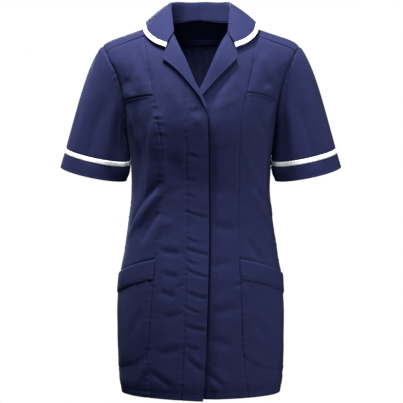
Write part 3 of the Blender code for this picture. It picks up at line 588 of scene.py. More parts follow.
def frontRight(u, v):
    level, hem = hemPath(v, panelTop["front"])
    seam = -princessTurn(-1, level)
    edgeAcross = readTable(frontEdge, level)
    seamAcross = -readTable(princessRight, level)
    reach = edgeAcross - seamAcross + frontEdgeFold["round"]
    width = reach + frontEdgeFold["width"]
    d = dense(u, (0, 0.62, 0.965, 1), 3, 0.035) * width - reach  # 0 at the folded edge
    low = ease((-0.165 - level) / 0.02)
    fold, tucked = folded(-d, frontEdgeFold)
    across = edgeAcross - fold
    turn = np.maximum(turnAt(across, level), seam)
    level = hemDroop(across - 0.004, level, frontEdgeFold["droop"])
    return bodyPoint(turn, level, hem + tucked * low - (1 - low) * 0.0006 * (d > 0))


stripShape = {"foot": 0.005, "head": -0.177, "behind": 0.0042, "width": 0.036, "out": -0.0026}


def frontLeft(u, v):
    level, hem = hemPath(v, panelTop["front"])
    edgeAcross = readTable(underEdge, level)
    inner = turnAt(edgeAcross, level)
    outer = princessTurn(1, level)
    turn = between(inner, outer, dense(u, (0, 0.36, 1), 3, 0.05))
    across = shellPoint(turn, level)[..., 0] - edgeAcross
    sunk = ease((levels["lapHead"] - level) / lap["run"])
    sunk = -lap["depth"] * sunk * (1 - ease((across - lap["width"]) / lap["rise"]))
    beside = bell(edgeAcross + across - readTable(frontEdge, level) - 0.0012, 0.0026)
    sunk = sunk - frontEdgeFold["gap"] * beside * ease((-0.16 - level) / 0.03)
    level = hemDroop(edgeAcross + across, level, frontEdgeFold["underDroop"])
    return bodyPoint(turn, level, hem + sunk)


def flyStrip(u, v):
    level = between(levels["hem"] + stripShape["foot"], stripShape["head"], v)
    across = readTable(frontEdge, level) - stripShape["behind"] - stripShape["width"] * (1 - u)
    return bodyPoint(turnAt(across, level), level, stripShape["out"])


def sideTurn(side, level, share, gap=-0.0003):
    inner, outer = princessTurn(side, level), armholeTurn(level)
    inner = inner + degreesFor(inner, level, gap)
    outer = outer - degreesFor(outer, level, gap)
    return side * between(inner, outer, share)


def mouthLevel(mouth, share):
    inner, outer = mouth["inner"], mouth["outer"]
    bow = mouth["middle"] - (inner + outer) / 2
    return between(inner, outer, share) + bow * 4 * share * (1 - share)


def sideShare(side, u, reach=0.06):  # 0 at the inner seam and 1 at the outer, on both sides
    return dense(u if side > 0 else 1 - u, (0, 1), 3, reach)


breastPocket = {"split": -0.148, "under": 0.022, "fade": 0.08, "gape": 0.0017, "gapeReach": 0.0042,
                "stitchAt": 0.0065, "stitchDip": 0.00015, "tuck": 0.0026, "tuckReach": 0.0052,
                "puff": {-1: 0.0028, 1: 0.0018}, "puffAt": 0.013, "puffReach": 0.016}
hipPocketShape = {"head": 0.006, "corner": 0.38, "out": 0.00125, "bag": 0.0016, "inside": 0.001,
                  "edgeWide": {-1: 0.013, 1: 0.006}, "edgeDeep": {-1: 0.0018, 1: 0.0014},
                  "stitchAt": 0.005, "stitchDip": 0.0001, "rowAt": 0.021}
hipBandShape = {"height": 0.038, "out": 0.0031, "gape": 0.0014, "rolled": 0.0017, "foot": 0.0008,
                "stitchAt": 0.0048, "stitchDip": 0.0002, "groove": (0.0034, 0.0024),
                "grooveAt": 0.0012, "grooveReach": 0.0016}
droops = {-1: frontEdgeFold["droop"], 1: frontEdgeFold["underDroop"]}


def sideLower(side, u, v):
    shape = breastPocket
    share = sideShare(side, u)
    row, hem = hemPath(v, shape["split"])
    mouth = mouthLevel(breastMouths[side], share)
    level = row + (mouth - shape["split"]) * ease((row - shape["split"] + shape["fade"]) / shape["fade"])
    below = mouth - level
    gape = shape["gape"] * np.sin(np.pi * share) ** 0.5 * bell(below, shape["gapeReach"])
    above = level - mouthLevel(hipMouth, share) - hipBandShape["grooveAt"]
    deep, less = hipBandShape["groove"]
    stitched = stitchDip(below, shape) - (deep - less * share) * bell(above, hipBandShape["grooveReach"])
    turn = sideTurn(side, level, share)
    level = hemDroop(shellPoint(turn, level)[..., 0], level, droops[side])
    return bodyPoint(turn, level, hem + gape + stitched)


def sideUpper(side, u, v):
    shape = breastPocket
    share = sideShare(side, u)
    foot = shape["split"] - shape["under"]
    row = foot + (panelTop["front"] - shape["split"] + shape["under"]) * dense(v, (0.18, 1), 3, 0.06)
    mouth = mouthLevel(breastMouths[side], share)
    level = row + (mouth - shape["split"]) * ease((levels["frontSeam"] - row) / shape["fade"])
    tuck = -shape["tuck"] * (1 - ease((level - mouth + 0.001) / shape["tuckReach"]))
    puff = shape["puff"][side] * bell(level - mouth - shape["puffAt"], shape["puffReach"])
    return bodyPoint(sideTurn(side, level, share), level, tuck + puff * np.sin(np.pi * share) ** 0.7)


def hipPocket(side, u, v):
    shape = hipPocketShape
    share = sideShare(side, u)
    head = mouthLevel(hipMouth, share) - hipBandShape["height"] + shape["head"]
    corner = np.sqrt(1 - (1 - np.minimum(share / shape["corner"], 1)) ** 2)
    foot = between(hipFoot["inner"], hipFoot["middle"], corner)
    foot = foot + (hipFoot["outer"] - hipFoot["middle"]) * share
    rise = dense(v, *pocketRows)
    level = between(foot, head, rise)
    height = level - foot
    bag = shape["bag"] * np.sin(np.pi * share) * np.sin(np.pi * np.clip(rise, 0, 0.9) / 0.9)
    gather = puckers(share * 0.09, height, 6 + side, 0.0002, 0.01)
    edge = -(shape["edgeDeep"][side] + 0.0008 * share) * bell(height, shape["edgeWide"][side])
    turn = sideTurn(side, level, share, shape["inside"])
    return bodyPoint(turn, level, shape["out"] + bag + gather + edge + stitchDip(height, shape))


bandRows, pocketRows = ((0, 0.15, 1), 3, 0.08), ((0,), 4, 0.05)  # stops, amount and reach for dense


def hipBand(side, u, v):
    shape = hipBandShape
    share = sideShare(side, u)
    rise = dense(v, *bandRows)
    mouth = mouthLevel(hipMouth, share)
    level = mouth - shape["height"] * (1 - rise)
    height = level - mouth + shape["height"]
    gape = shape["gape"] * rise * np.sin(np.pi * share)
    gather = puckers(share * 0.09, height, 7 + side, 0.0005, 0.01)
    rolled = -shape["rolled"] * bell(mouth - level, 0.0011) - shape["foot"] * bell(height, 0.0024)
    turn = sideTurn(side, level, share, hipPocketShape["inside"])
    return bodyPoint(turn, level, shape["out"] + gape + gather + rolled + stitchDip(height, shape))


def backLevel(row, across):  # rows rise to the slanting yoke seam
    arch = readTable(backSeam, across) - levels["backSeam"]
    return row + arch * ease((row + 0.15) / (levels["backSeam"] + 0.15)), arch


def backMiddle(u, v):
    row, hem = hemPath(v, panelTop["back"])
    half = 2 * dense(u, (0, 1, 0.4, 0.445, 0.555, 0.6), 3, 0.02) - 1
    across = np.abs(half) * (readTable(backPrincess, row) + panelTop["lap"])
    level, arch = backLevel(row, across)
    depth = pleat["depth"] * ease((level - pleat["foot"]) / (pleat["head"] - pleat["foot"]))
    depth = depth * (0.25 + 0.75 * ease((-0.05 - level + arch) / 0.03))
    step = 1 - ease((across - pleat["half"]) / pleat["fold"])
    turn = 180 - np.sign(half) * turnAt(across, level)
    return bodyPoint(turn, level, hem + depth * step)


def sideBack(side, u, v):
    row, hem = hemPath(v, panelTop["back"])
    inner = turnAt(readTable(backPrincess, row) - panelTop["lap"], row)
    outer = armholeTurn(row) + degreesFor(armholeTurn(row), row, panelTop["lap"])
    turn = between(inner, outer, dense(u, (0, 1), 3, 0.05))
    across = shellPoint(turn, row)[..., 0]
    level, _ = backLevel(row, across)
    turn = np.where(level == row, turn, turnAt(across, level))
    return bodyPoint(180 - side * turn, level, hem)


def armholeAcross(over, gap=0):
    level = -over * over
    return shellPoint(armholeTurn(level), level)[..., 0] + gap


yokeShape = {"trim": -0.0002, "under": 0.01, "dip": 0.0011, "pucker": 0.0003, "lift": 0.0014,
             "liftReach": 0.016, "wave": 0.0008, "start": 0.14, "rows": (0.06, 0.16)}


def yokePlace(u, v):
    side = np.where(u < 0.5, -1, 1)
    s = 1 - np.abs(2 * dense(u, (0, 1), 3, 0.015) - 1)
    station = between(yokeShape["start"], 1, s)
    acrossIn, overIn = readTable(collarTable, station, 1), readTable(collarTable, station, 2)
    frontOver, backOver = -math.sqrt(-levels["frontSeam"]), math.sqrt(-levels["backSeam"])
    overEnd = between(frontOver, backOver, np.minimum(s / 0.5, 1))
    acrossBack = float(armholeAcross(np.array(backOver), yokeShape["trim"])) * (1 - s) / 0.5
    acrossOut = np.where(s < 0.5, armholeAcross(overEnd, yokeShape["trim"]), acrossBack)
    overOut = np.where(s < 0.5, overEnd, np.sqrt(-readTable(backSeam, acrossBack)))
    overIn = np.where(s == 0, frontOver, overIn)
    rise = dense(1 - v, (0, 1), 3, 0.05)
    behind = s > 0.5
    overOut = overOut + np.where(behind, yokeShape["under"], 0) * ease((s - 0.5) / 0.01)
    across, over = between(acrossIn, acrossOut, rise), between(overIn, overOut, rise)
    reach = np.abs(acrossOut - acrossIn) + np.abs(overOut - overIn) * 0.3
    d = (1 - rise) * np.maximum(reach, 0.02)
    out = seamDip(d, yokeShape["dip"]) + puckers(s * 0.4, d, 2.6, yokeShape["pucker"])
    out = out + np.where(behind, yokeShape["lift"], 0) * bell(d, yokeShape["liftReach"])
    wave = np.sin(46 * across * side + 20 * over) * np.sin(9 * over + 0.6)
    return overShoulder(side * across, over, out + yokeShape["wave"] * wave)


panels = [
    # name, rough width and height, place
    ("front_right", (0.12, 0.74), frontRight),
    ("front_left", (0.12, 0.74), frontLeft),
    ("fly_strip", (0.038, 0.54), flyStrip),
    ("back", (0.23, 0.7), backMiddle),
    ("side_back_right", (0.13, 0.7), partial(sideBack, -1)),
    ("side_back_left", (0.13, 0.7), partial(sideBack, 1)),
    ("yoke", (0.56, 0.12), yokePlace),
]
for panelSide, word in ((-1, "right"), (1, "left")):
    panels += [
        ("side_lower_" + word, (0.11, 0.6), partial(sideLower, panelSide)),
        ("side_upper_" + word, (0.07, 0.16), partial(sideUpper, panelSide)),
        ("hip_pocket_" + word, (0.11, 0.18), partial(hipPocket, panelSide)),
        ("hip_band_" + word, (0.11, 0.045), partial(hipBand, panelSide)),
    ]
for name, size, place in panels:
    sheet(name + "_cloth", name, size, place, navyCloth)


allowance = {"half": 0.125, "start": 0.002, "width": 0.022, "out": -0.0022, "slope": 0.0012}


def backAllowance(u, v):  # raw edges pressed up inside the back yoke seam
    across = (2 * u - 1) * allowance["half"]
    seam = np.sqrt(-readTable(backSeam, np.abs(across)))
    out = allowance["out"] - allowance["slope"] * v - 0.0006 * np.sin(190 * u) * v
    return overShoulder(across + 1e-6, seam - allowance["start"] - allowance["width"] * v, out)


sheet("yoke_seam_allowance", None, (0.25, 0.012), backAllowance, navyCloth, wall=0.0008)
print("stage: body panels sewn")


# Lapels, collar and its binding
lapelShape = {"lift": 0.0018, "rise": 0.0024, "stand": 0.0026, "wave": 0.001, "stitchDip": 0.0005,
              "stitchAt": 0.0035, "stitchWide": 0.0013, "pucker": 0.0003}


def lapelPlace(side, table, edgeTable, u, v):
    shape = lapelShape
    share = sideShare(side, u, 0.08)
    along = dense(v, (1,), 3, 0.05)
    rollLevel = readTable(table, along, 1)
    across = between(readTable(edgeTable, rollLevel), readTable(table, along, 2), share)
    level = between(rollLevel, readTable(table, along, 3), share)
    lift = shape["lift"] + shape["rise"] * ease(share / 0.25) + shape["stand"] * share ** 2
    if side > 0:
        beside = across - readTable(edgeTable, level) - lap["width"]
        sunk = ease((levels["lapHead"] - level) / lap["run"]) * (1 - ease(beside / lap["rise"]))
        lift = lift - lap["depth"] * sunk
    edge = (1 - share) * 0.03
    lift = lift + shape["wave"] * np.sin(np.pi * share) * np.sin(np.pi * along)
    lift = lift + stitchDip(edge, shape) + puckers(along * 0.13, edge, 8 + side, shape["pucker"], 0.006)
    return onShell(turnAt(across, level), level, lift)


for word, long, place in (("right", 0.15, partial(lapelPlace, -1, lapelRight, frontEdge)),
                          ("left", 0.12, partial(lapelPlace, 1, lapelLeft, underEdge))):
    sheet("lapel_%s_cloth" % word, "lapel_" + word, (0.05, long), place, navyCloth, wall=0.0016)

collarShape = {"neckLift": 0.0017, "edgeLift": 0.0075, "roll": 0.0045, "bulge": 0.0022,
               "trim": 0.0094, "under": 0.0072, "trimOut": 0.00085, "round": 0.0004, "gather": 0.1,
               "inside": 0.0022, "wave": 0.0007}


def collarProfiles(station, side):  # points up the stand, over the roll and down the fall
    neckAcross, neckOver, rollX, rollY, rollZ = (readTable(collarTable, station, k) for k in range(1, 6))
    neck = overShoulder(side * neckAcross, neckOver, np.full_like(station, collarShape["neckLift"]))
    roll = np.stack([side * rollX, rollY, rollZ], axis=-1)

    def edgeAt(at, lift):
        return overShoulder(side * readTable(collarTable, at, 6), readTable(collarTable, at, 7),
                            np.full_like(station, lift))

    edge = edgeAt(station, collarShape["edgeLift"])
    away = edge - roll
    away[..., 2] *= 1 - ease(station / 0.3)
    away = unit(away)
    shoulder = roll + away * collarShape["roll"] + unit(edge - roll) * 0.003
    along = unit(edgeAt(np.minimum(1, station + 0.02), 0) - edgeAt(np.maximum(0, station - 0.02), 0))
    bulge = unit(np.cross(edge - shoulder, along)) * side[..., None] * collarShape["bulge"]
    points = [neck, neck + (roll - neck) * 0.5, neck + (roll - neck) * 0.88,
              roll + away * collarShape["roll"] * 0.4 + unit(roll - neck) * 0.0012]
    for k in range(7):
        t = k / 6
        points.append(between(shoulder, edge, t) + bulge * 4 * t * (1 - t))
    return np.stack(points, axis=-2)


def alongProfile(points, share):  # smooth curve through each row of points, by its length
    steps = stepLengths(points, -2)
    run = np.concatenate([np.zeros(steps.shape[:-1] + (1,)), np.cumsum(steps, axis=-1)], axis=-1)
    want = share * run[..., -1]
    count = points.shape[-2]
    i = np.clip((run <= want[..., None]).sum(axis=-1) - 1, 0, count - 2)

    def pick(k):
        return np.take_along_axis(points, np.clip(k, 0, count - 1)[..., None, None], -2)[..., 0, :]

    start = np.take_along_axis(run, i[..., None], -1)[..., 0]
    end = np.take_along_axis(run, (i + 1)[..., None], -1)[..., 0]
    t = ((want - start) / np.maximum(end - start, 1e-9))[..., None]
    a, b, c, d = pick(i - 1), pick(i), pick(i + 1), pick(i + 2)
    return 0.5 * (2 * b + (c - a) * t + (2 * a - 5 * b + 4 * c - d) * t ** 2
                  + (3 * b - a - 3 * c + d) * t ** 3)


def collarRows(u):
    return collarProfiles(1 - np.abs(2 * u - 1), np.where(u < 0.5, -1, 1))


def collarSurface(u, share):
    return alongProfile(collarRows(u), share)


def collarLength(u):
    return stepLengths(collarRows(u), -2).sum(axis=-1)


def surfaceWay(u, share):  # direction out of the collar's surface, and up along it
    du, ds = 0.0015, 0.004
    before, after = np.maximum(u - du, 0), np.minimum(u + du, 1)
    low, high = np.maximum(share - ds, 0), np.minimum(share + ds, 1)
    upward = collarSurface(u, high) - collarSurface(u, low)
    return unit(np.cross(collarSurface(after, share) - collarSurface(before, share), upward)), unit(upward)


def collarPlace(u, v):
    u = dense(u, (0, 1), 3, 0.012)
    top = 1 - collarShape["inside"] / collarLength(u)
    share = dense(v, (0, 0.33, 0.9), 2, 0.05) * top
    out, _ = surfaceWay(u, share)
    wave = collarShape["wave"] * np.sin(37 * u + 3 * share) * np.sin(np.pi * share) ** 2
    return collarSurface(u, share) + out * wave[..., None]


topSide = math.copysign(1, surfaceWay(np.array([0.5]), np.array([0.8]))[0][0, 2])


def bindingPlace(u, v):
    shape = collarShape
    u = dense(u, (0, 1), 3, 0.012)
    a = (dense(v, (0.5,), 5, 0.1) - 0.5) * 2  # -1 on top, 0 round the edge, 1 under it
    back = np.where(a < 0, shape["trim"], shape["under"]) * np.maximum(0, np.abs(a) - 0.08)
    bend = np.clip(a / 0.08, -1, 1) * np.pi / 2
    share = np.clip(1 - back / collarLength(u), 0, 1)
    out, way = surfaceWay(u, share)
    gather = 1 + shape["gather"] * np.sin(900 * u) * np.sin(211 * u)
    aside = -np.sin(bend) * shape["trimOut"] * topSide * gather
    beyond = np.cos(bend) * shape["round"]
    return collarSurface(u, share) + out * aside[..., None] + way * beyond[..., None]


sheet("collar_cloth", "collar", (0.56, 0.105), collarPlace, navyCloth, wall=0.0012)
sheet("collar_binding", "collar_trim", (0.64, 0.04), bindingPlace, whiteCloth,
      wall=0.0005)
print("stage: collar and lapels made")


# Sleeves, with their white bands and cuffs
sleeveLeads = {"top": (0.94, -0.34), "under": (0.86, -0.5), "cap": (0.62, -0.78)}  # outward, up
sleeveFolds = [
    # middle angle, lean, half width in degrees, first and last share of the length, out
    (20, 24, 13, 0.05, 0.8, -0.002), (52, -18, 12, 0.2, 1.05, 0.0022),
    (78, -10, 9, 0.25, 1.05, -0.0026), (104, 14, 10, 0.1, 0.95, 0.0024),
    (128, 30, 9, 0.05, 0.75, -0.0026), (152, -20, 10, 0.15, 0.9, 0.002),
    (186, 12, 12, 0.2, 1.00, -0.002), (222, -26, 10, 0.05, 0.8, 0.0024),
    (248, 16, 10, 0.2, 1.05, -0.0026), (280, -14, 12, 0.1, 0.95, 0.0022),
    (318, 18, 12, 0.15, 1.00, -0.0022), (346, -12, 11, 0.05, 0.7, 0.0014),
    (148, 18, 15, -0.05, 0.85, -0.0034),
    (180, 0, 42, 0.02, 0.9, 0.005), (180, 0, 42, 0.02, 1.2, 0.0055),
]


def sleeveWay(side, name):
    outward, up = sleeveLeads[name]
    return np.array([side * outward, 0, up])


def armholeStart(side, angle):
    folded = np.where(angle <= 180, angle, 360 - angle)
    level = np.minimum(levels["underarm"] * np.sin(np.radians(folded) / 2) ** 2, -1e-6)

    def place(at):
        turn = np.where(angle > 180, 180 - armholeTurn(at), armholeTurn(at))
        return side * turn

    near = np.clip(level, levels["underarm"] + 0.0005, levels["ridge"])
    normal = shellNormal(place(level), near)
    high = np.where(near < -0.006, near + 0.004, near)
    low = np.minimum(np.maximum(near - 0.004, levels["underarm"] + 0.0001), high - 0.002)
    into = unit(np.cross(unit(shellPoint(place(high), high) - shellPoint(place(low), low)), normal))
    into = into * np.where(into[..., 0] * side < 0, -1, 1)[..., None]
    top = (1 - ease(folded / 45))[..., None]
    into = unit(into * (1 - top) + sleeveWay(side, "top") * top)
    lower = ease((folded - 60) / 70)[..., None]
    intoLow = unit(into * (1 - lower) + np.array([0, 0, 1]) * lower)
    start = shellPoint(place(level), level) + intoLow * 0.0005 + normal * 0.0019 * lower
    toward = ease(folded / 130)[..., None]
    lead = unit(into * (1 - toward) + sleeveWay(side, "under") * toward)
    cap = (0.7 * (1 - ease(folded / 110)))[..., None]
    return start, lead * (1 - cap) + sleeveWay(side, "cap") * cap, intoLow, normal


def sleeveCentre(side):
    return np.array([side * sleeveShape["across"], sleeveShape["along"], 0])


def sleevePoint(side, angle, v):
    start, lead, _, _ = armholeStart(side, angle)
    a = np.radians(angle)[..., None]
    shape = sleeveShape
    wide = unit(np.array([side, 0, shape["rise"]])) * shape["halfWidth"]
    deep = unit(np.array([0, -1, -shape["tilt"]])) * shape["halfDepth"]
    centre = sleeveCentre(side) + np.array([0, 0, shape["height"]])
    end = centre + wide * np.cos(a) + deep * np.sin(a)
    reach = np.linalg.norm(end - start, axis=-1, keepdims=True)
    first = unit(lead) * reach * shape["pull"]
    last = unit(np.array([side * shape["lean"], 0, -1])) * reach * shape["set"]
    v = v[..., None]
    return (start * (2 * v ** 3 - 3 * v ** 2 + 1) + first * (v ** 3 - 2 * v ** 2 + v)
            + end * (3 * v ** 2 - 2 * v ** 3) + last * (v ** 3 - v ** 2))


def sleeveShare(side, angle, distance):  # share of the length at a distance above the hem
    low, high = np.full(angle.shape, 0.5), np.ones(angle.shape)
    end = sleevePoint(side, angle, np.ones(angle.shape))
    for _ in range(18):
        middle = (low + high) / 2
        far = np.linalg.norm(sleevePoint(side, angle, middle) - end, axis=-1) > distance
        low, high = np.where(far, middle, low), np.where(far, high, middle)
    return high


def sleeveSurface(side, angle, v, out):
    here = sleevePoint(side, angle, v)
    aside = sleevePoint(side, (angle + 0.7) % 360, v) - sleevePoint(side, (angle - 0.7) % 360, v)
    down = (sleevePoint(side, angle, np.minimum(v + 0.01, 1))
            - sleevePoint(side, angle, np.maximum(v - 0.01, 0)))
    normal = unit(np.cross(aside, down)) * side
    fold = np.zeros(angle.shape)
    for at, lean, wide, first, last, amount in sleeveFolds:
        reach = ease((v - first) / 0.25) * ease((last - v) / 0.3)
        fold += amount * bell(wrapped(angle - at - lean * (v - 0.5)), wide) * reach
    fold *= 1 - 0.55 * ease((v - 0.8) / 0.15)
    length = np.linalg.norm(here - sleevePoint(side, angle, np.zeros(angle.shape)), axis=-1)
    seam = puckers(np.radians(angle) * 0.07, length, 1.4 + side, 0.0005, 0.01)
    return here + normal * (fold + seam + out)[..., None]


# Heights above the sleeve's hem: cuff, white band, cloth
ringShape = {"cuff": (0, 0.0301), "band": (0.0303, 0.0394), "cloth": 0.0396, "turnUp": 0.016,
             "inside": 0.0016, "round": 0.0007, "hem": 0.0003, "stitchAt": 0.006, "stitchDip": 0.0005,
             "turnIn": 0.0022, "bandOut": 0.0006, "bandUnder": 0.00055, "seamDip": 0.0009,
             "allowance": 0.009, "allowanceIn": 0.003, "head": 0.002}
cuffRows = (0, 0.35, 1), 3, 0.05


def cuffPart(side, angle, v):
    shape, head = ringShape, ringShape["cuff"][1]
    run = dense(v, *cuffRows) * (head + shape["turnUp"]) - shape["turnUp"]
    bend, out = folded(run, shape)
    out += seamDip(head - run, shape["seamDip"]) + stitchDip(run, shape)
    return sleeveSurface(side, angle, sleeveShare(side, angle, bend + shape["hem"]), out)


def bandPart(side, angle, v):
    foot, head = ringShape["band"]
    turnIn, width = ringShape["turnIn"], head - foot  # both edges are turned in
    run = dense(v, (0.15, 0.85), 3, 0.08) * (width + 2 * turnIn) - turnIn
    inner = np.sqrt((run - width) ** 2 + 0.0004 ** 2) - np.sqrt(run ** 2 + 0.0004 ** 2)
    height = foot + np.clip((width - inner) / 2, 0, width)
    height = np.where(run < 0, foot - run * 0.9, height)
    height = np.where(run > width, head - (run - width) * 0.9, height)
    past = np.maximum(-run, run - width)
    out = ringShape["bandOut"] - ringShape["bandUnder"] * (1 + np.tanh(past / 0.0005))
    return sleeveSurface(side, angle, sleeveShare(side, angle, height), out)


def sleevePart(side, angle, v):
    shape = ringShape
    foot = sleeveShare(side, angle, shape["cloth"])
    run = dense(v, (0.05, 1), 3, 0.04) * 1.05 - 0.05
    share = np.maximum(run, 0) * foot
    _, _, into, normal = armholeStart(side, angle)
    under = np.clip(-run / 0.05, 0, 1)[..., None]  # seam allowance inside the body
    tuck = into * -shape["allowance"] * under - normal * shape["allowanceIn"] * ease(under * 2)
    out = seamDip((foot - share) * 0.2, shape["seamDip"]) - shape["head"] * bell(share, 0.018)
    return sleeveSurface(side, angle, share, out) + tuck


def ringPlace(side, part, u, v):
    angle = (360 * u) % 360
    return part(side, angle if side > 0 else (360 - angle) % 360, v)


for sleeveSide, word in ((-1, "right"), (1, "left")):
    sheet("sleeve_%s_cloth" % word, "sleeve_" + word, (0.42, 0.18),
          partial(ringPlace, sleeveSide, sleevePart), navyCloth, closed=True)
    sheet("sleeve_band_" + word, "sleeve_trim_" + word, (0.38, 0.03),
          partial(ringPlace, sleeveSide, bandPart), whiteCloth, closed=True)
    sheet("cuff_%s_cloth" % word, "cuff_" + word, (0.38, 0.06),
          partial(ringPlace, sleeveSide, cuffPart), navyCloth, closed=True)
print("stage: sleeves set in")


# Buttons of the hidden fastening
buttonShape = {"levels": (-0.192, -0.29, -0.388, -0.486, -0.584), "inFromEdge": 0.021, "out": -0.0042,
               "radius": 0.009, "rim": 0.00095, "dish": 0.00045, "steps": 40}


def buttonMesh(name, shape):  # a turned outline: dished face, rounded rim, flat back
    r, rim, dish, steps = (shape[key] for key in ("radius", "rim", "dish", "steps"))
    outline = [(0, dish), (0.55 * r, dish), (0.72 * r, rim), (0.9 * r, rim), (r, 0.35 * rim),
               (r, -0.35 * rim), (0.85 * r, -0.8 * rim), (0, -0.8 * rim)]
    bm = bmesh.new()
    rings = []
    for radius, height in outline:
        angles = [2 * math.pi * k / steps for k in range(steps if radius else 1)]
        rings.append([bm.verts.new((radius * math.cos(a), radius * math.sin(a), height)) for a in angles])
    for one, two in zip(rings[:-1], rings[1:]):
        for k in range(steps):
            n = (k + 1) % steps
            corners = [one[k % len(one)], one[n % len(one)], two[n % len(two)], two[k % len(two)]]
            bm.faces.new(list(dict.fromkeys(corners)))
    bmesh.ops.recalc_face_normals(bm, faces=bm.faces)
    mesh = bpy.data.meshes.new(name)
    bm.to_mesh(mesh)
    bm.free()
    mesh.materials.append(buttonPlastic)
    return mesh


for number, atLevel in enumerate(buttonShape["levels"], start=1):
    turn = float(turnAt(float(readTable(frontEdge, atLevel)) - buttonShape["inFromEdge"], atLevel))
    mesh = buttonMesh("hidden_button_%d" % number, buttonShape)
    mesh.transform(Vector(shellNormal(turn, atLevel)).to_track_quat("Z", "Y").to_matrix().to_4x4())
    place = Vector(onShell(turn, atLevel, np.array(buttonShape["out"])))
    for vert in mesh.vertices:
        vert.co += place
    button = addPiece(mesh.name, mesh)
    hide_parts("button_%d" % number)
print("stage: buttons made")


# Rows of stitches
stitchRows = []  # points of a row, and the way out of the cloth at each


def surfaceRow(place, us, at, centre=0):  # along a piece's own surface
    vs = np.full_like(us, at)
    here = place(us, vs)
    sideways = place(np.clip(us + 0.002, 0, 1), vs) - place(np.clip(us - 0.002, 0, 1), vs)
    onward = place(us, np.clip(vs + 0.002, 0, 1)) - place(us, np.clip(vs - 0.002, 0, 1))
    normal = unit(np.cross(sideways, onward))
    away = (here - centre) * np.array([1, 1, 0])
    facing = np.where(np.sum(normal * away, axis=-1) < 0, -1, 1)[..., None]
    stitchRows.append((here + normal * facing * sewing["lift"], normal * facing))


def shareWhere(spacingOf, target):  # v at which a panel's own spacing reaches a share
    v = np.linspace(0, 1, 2001)
    return float(np.interp(target, spacingOf(v), v))


def bodyRow(turn, level, out=sewing["lift"]):
    stitchRows.append((bodyPoint(turn, level, out), shellNormal(turn, level)))


def alongRun(at, run, points):
    return np.stack([np.interp(at, run, points[:, k]) for k in range(3)], axis=-1)


def makeStitches(name, rows, material):
    sides, pitch = 5, sewing["pitch"]
    rings = [(-0.5, 0.35), (-0.3, 1), (0.3, 1), (0.5, 0.35)]  # share of the length, thickness
    places, normals, tangents = [], [], []
    for points, outward in rows:
        run = running(stepLengths(points, 0))
        at = np.arange(pitch, run[-1] - pitch, pitch)
        if len(at) < 2:
            continue
        places.append(alongRun(at, run, points))
        tangents.append(unit(alongRun(at + 0.001, run, points) - alongRun(at - 0.001, run, points)))
        normals.append(unit(alongRun(at, run, outward)))
    middle, tangent, normal = (np.concatenate(x) for x in (places, tangents, normals))
    cross = np.cross(tangent, normal)
    verts = []
    for along, wide in rings:
        for a in np.arange(sides) * 2 * np.pi / sides:
            verts.append(middle + tangent * along * sewing["length"]
                         + (cross * math.cos(a) + normal * math.sin(a)) * wide * sewing["radius"]
                         - normal * sewing["sink"] * (1 - wide))
    verts = np.stack(verts, axis=1)
    count, each = verts.shape[:2]
    faces = [tuple(range(sides))[::-1], tuple(range(each - sides, each))]
    for ring in range(0, each - sides, sides):
        for k in range(sides):
            n = (k + 1) % sides
            faces.append((ring + k, ring + n, ring + sides + n, ring + sides + k))
    mesh = bpy.data.meshes.new(name)
    allFaces = [tuple(i + each * j for i in face) for j in range(count) for face in faces]
    mesh.from_pydata(verts.reshape(-1, 3).tolist(), [], allFaces)
    mesh.materials.append(material)
    print("stage:", name, count, "stitches")
    return addPiece(name, mesh)


rowLevels = np.linspace(-0.712, -0.152, 700)
bodyRow(turnAt(placketAcross(rowLevels), rowLevels), rowLevels)
hemTurns = np.linspace(-178, 178, 1200)
hemRow = levels["hem"] + hemFold["stitchAt"]
hemAcross = shellPoint(hemTurns, hemRow)[:, 0]
underAcross, lapAcross = (float(readTable(edge, hemRow)) for edge in (underEdge, frontEdge))
sunkHem = -lap["depth"] * (1 - ease((hemAcross - underAcross - lap["width"]) / lap["rise"]))
inFront = np.abs(hemTurns) < 90
onLeft = inFront & (hemAcross > lapAcross + 0.002)
onRight = (hemAcross < lapAcross - 0.002) | (np.abs(hemTurns) > 90)
for part, droop, shift in ((onRight, droops[-1], 0.004), (onLeft, droops[1], 0)):
    for half in (hemTurns < 0, hemTurns >= 0):
        chosen = part & half
        lowered = hemDroop(hemAcross[chosen] - shift, hemRow, droop * inFront[chosen])
        if chosen.sum() > 3:
            bodyRow(hemTurns[chosen], lowered, (0.0001 + np.where(onLeft, sunkHem, 0))[chosen])
shares, mouthShares = np.linspace(0.01, 0.99, 160), np.linspace(0.02, 0.98, 160)
ring, middleOfYoke = np.linspace(0, 0.999, 400), np.linspace(0.3, 0.7, 300)
bandAt = shareWhere(lambda v: dense(v, *bandRows), hipBandShape["stitchAt"] / hipBandShape["height"])
pocketAt = shareWhere(lambda v: dense(v, *pocketRows), hipPocketShape["rowAt"])
cuffLong = ringShape["cuff"][1] + ringShape["turnUp"]
cuffAt = shareWhere(lambda v: dense(v, *cuffRows) * cuffLong - ringShape["turnUp"], ringShape["stitchAt"])
for side in (-1, 1):
    surfaceRow(partial(hipBand, side), shares, bandAt)
    surfaceRow(partial(hipPocket, side), shares, pocketAt)
    mouth = mouthLevel(breastMouths[side], mouthShares) - breastPocket["stitchAt"]
    bodyRow(sideTurn(side, mouth, mouthShares), mouth, 0.0001)
    surfaceRow(partial(ringPlace, side, cuffPart), ring, cuffAt, sleeveCentre(side))
for step in yokeShape["rows"]:
    surfaceRow(yokePlace, middleOfYoke, step)
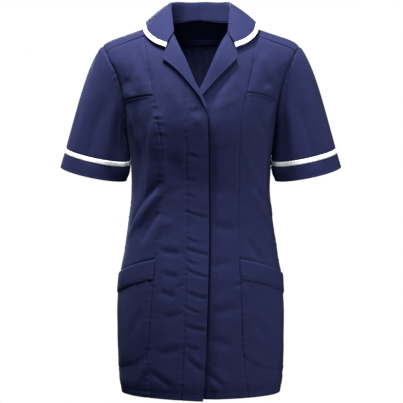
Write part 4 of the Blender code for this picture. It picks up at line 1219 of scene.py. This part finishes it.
makeStitches("stitches", stitchRows, navyThread)


# Studio: white ground, a steep key near above on the left, weaker lights in front and on the right
studio = {"worldLight": 0.08, "aim": (0, 0, -0.3),  # and each light's power, size and place
          "key": (55, 0.25, (-0.32, -0.32, 1.28)), "second": (7, 0.2, (-0.42, -0.5, 1.12)),
          "high": (18, 0.3, (-0.15, -0.9, 1.1)), "front": (10, 1, (-0.3, -3.2, 0.4)),
          "right": (64, 1, (2.6, -1.2, 0)), "behind": (90, 1.4, (-0.9, 2.8, 1.1))}
scene = bpy.context.scene
scene.view_settings.view_transform = "Standard"
scene.view_settings.look = "None"
world = bpy.data.worlds.new("white_room")
scene.world = world
world.use_nodes = True
worldTree = world.node_tree
ground = worldTree.nodes["Background"]
seen = addNode(worldTree, "ShaderNodeBackground")
for node, strength in ((ground, studio["worldLight"]), (seen, 1)):
    node.inputs["Color"].default_value = (1, 1, 1, 1)
    node.inputs["Strength"].default_value = strength
ray = addNode(worldTree, "ShaderNodeLightPath").outputs["Is Camera Ray"]
choose = addNode(worldTree, "ShaderNodeMixShader", [(0, ray), (1, ground.outputs[0]), (2, seen.outputs[0])])
worldTree.links.new(choose.outputs[0], worldTree.nodes["World Output"].inputs["Surface"])


def areaLight(name, power, size, at):
    light = bpy.data.lights.new(name, "AREA")
    light.energy = power
    light.size = size
    lamp = bpy.data.objects.new(name, light)
    lamp.location = at
    lamp.rotation_euler = (Vector(studio["aim"]) - Vector(at)).to_track_quat("-Z", "Y").to_euler()
    scene.collection.objects.link(lamp)


for lampName in ("key", "second", "high", "front", "right", "behind"):
    areaLight(lampName, *studio[lampName])

view = {"across": 0.0014, "height": -0.344, "distance": 3, "width": 0.806}
camera = bpy.data.objects.new("front_camera", bpy.data.cameras.new("front_camera"))
camera.location = (view["across"], -view["distance"], view["height"])
camera.rotation_euler = (math.radians(90), 0, 0)
camera.data.sensor_width = 36
camera.data.lens = 36 * view["distance"] / view["width"]
scene.collection.objects.link(camera)
scene.camera = camera
print("stage: studio set")
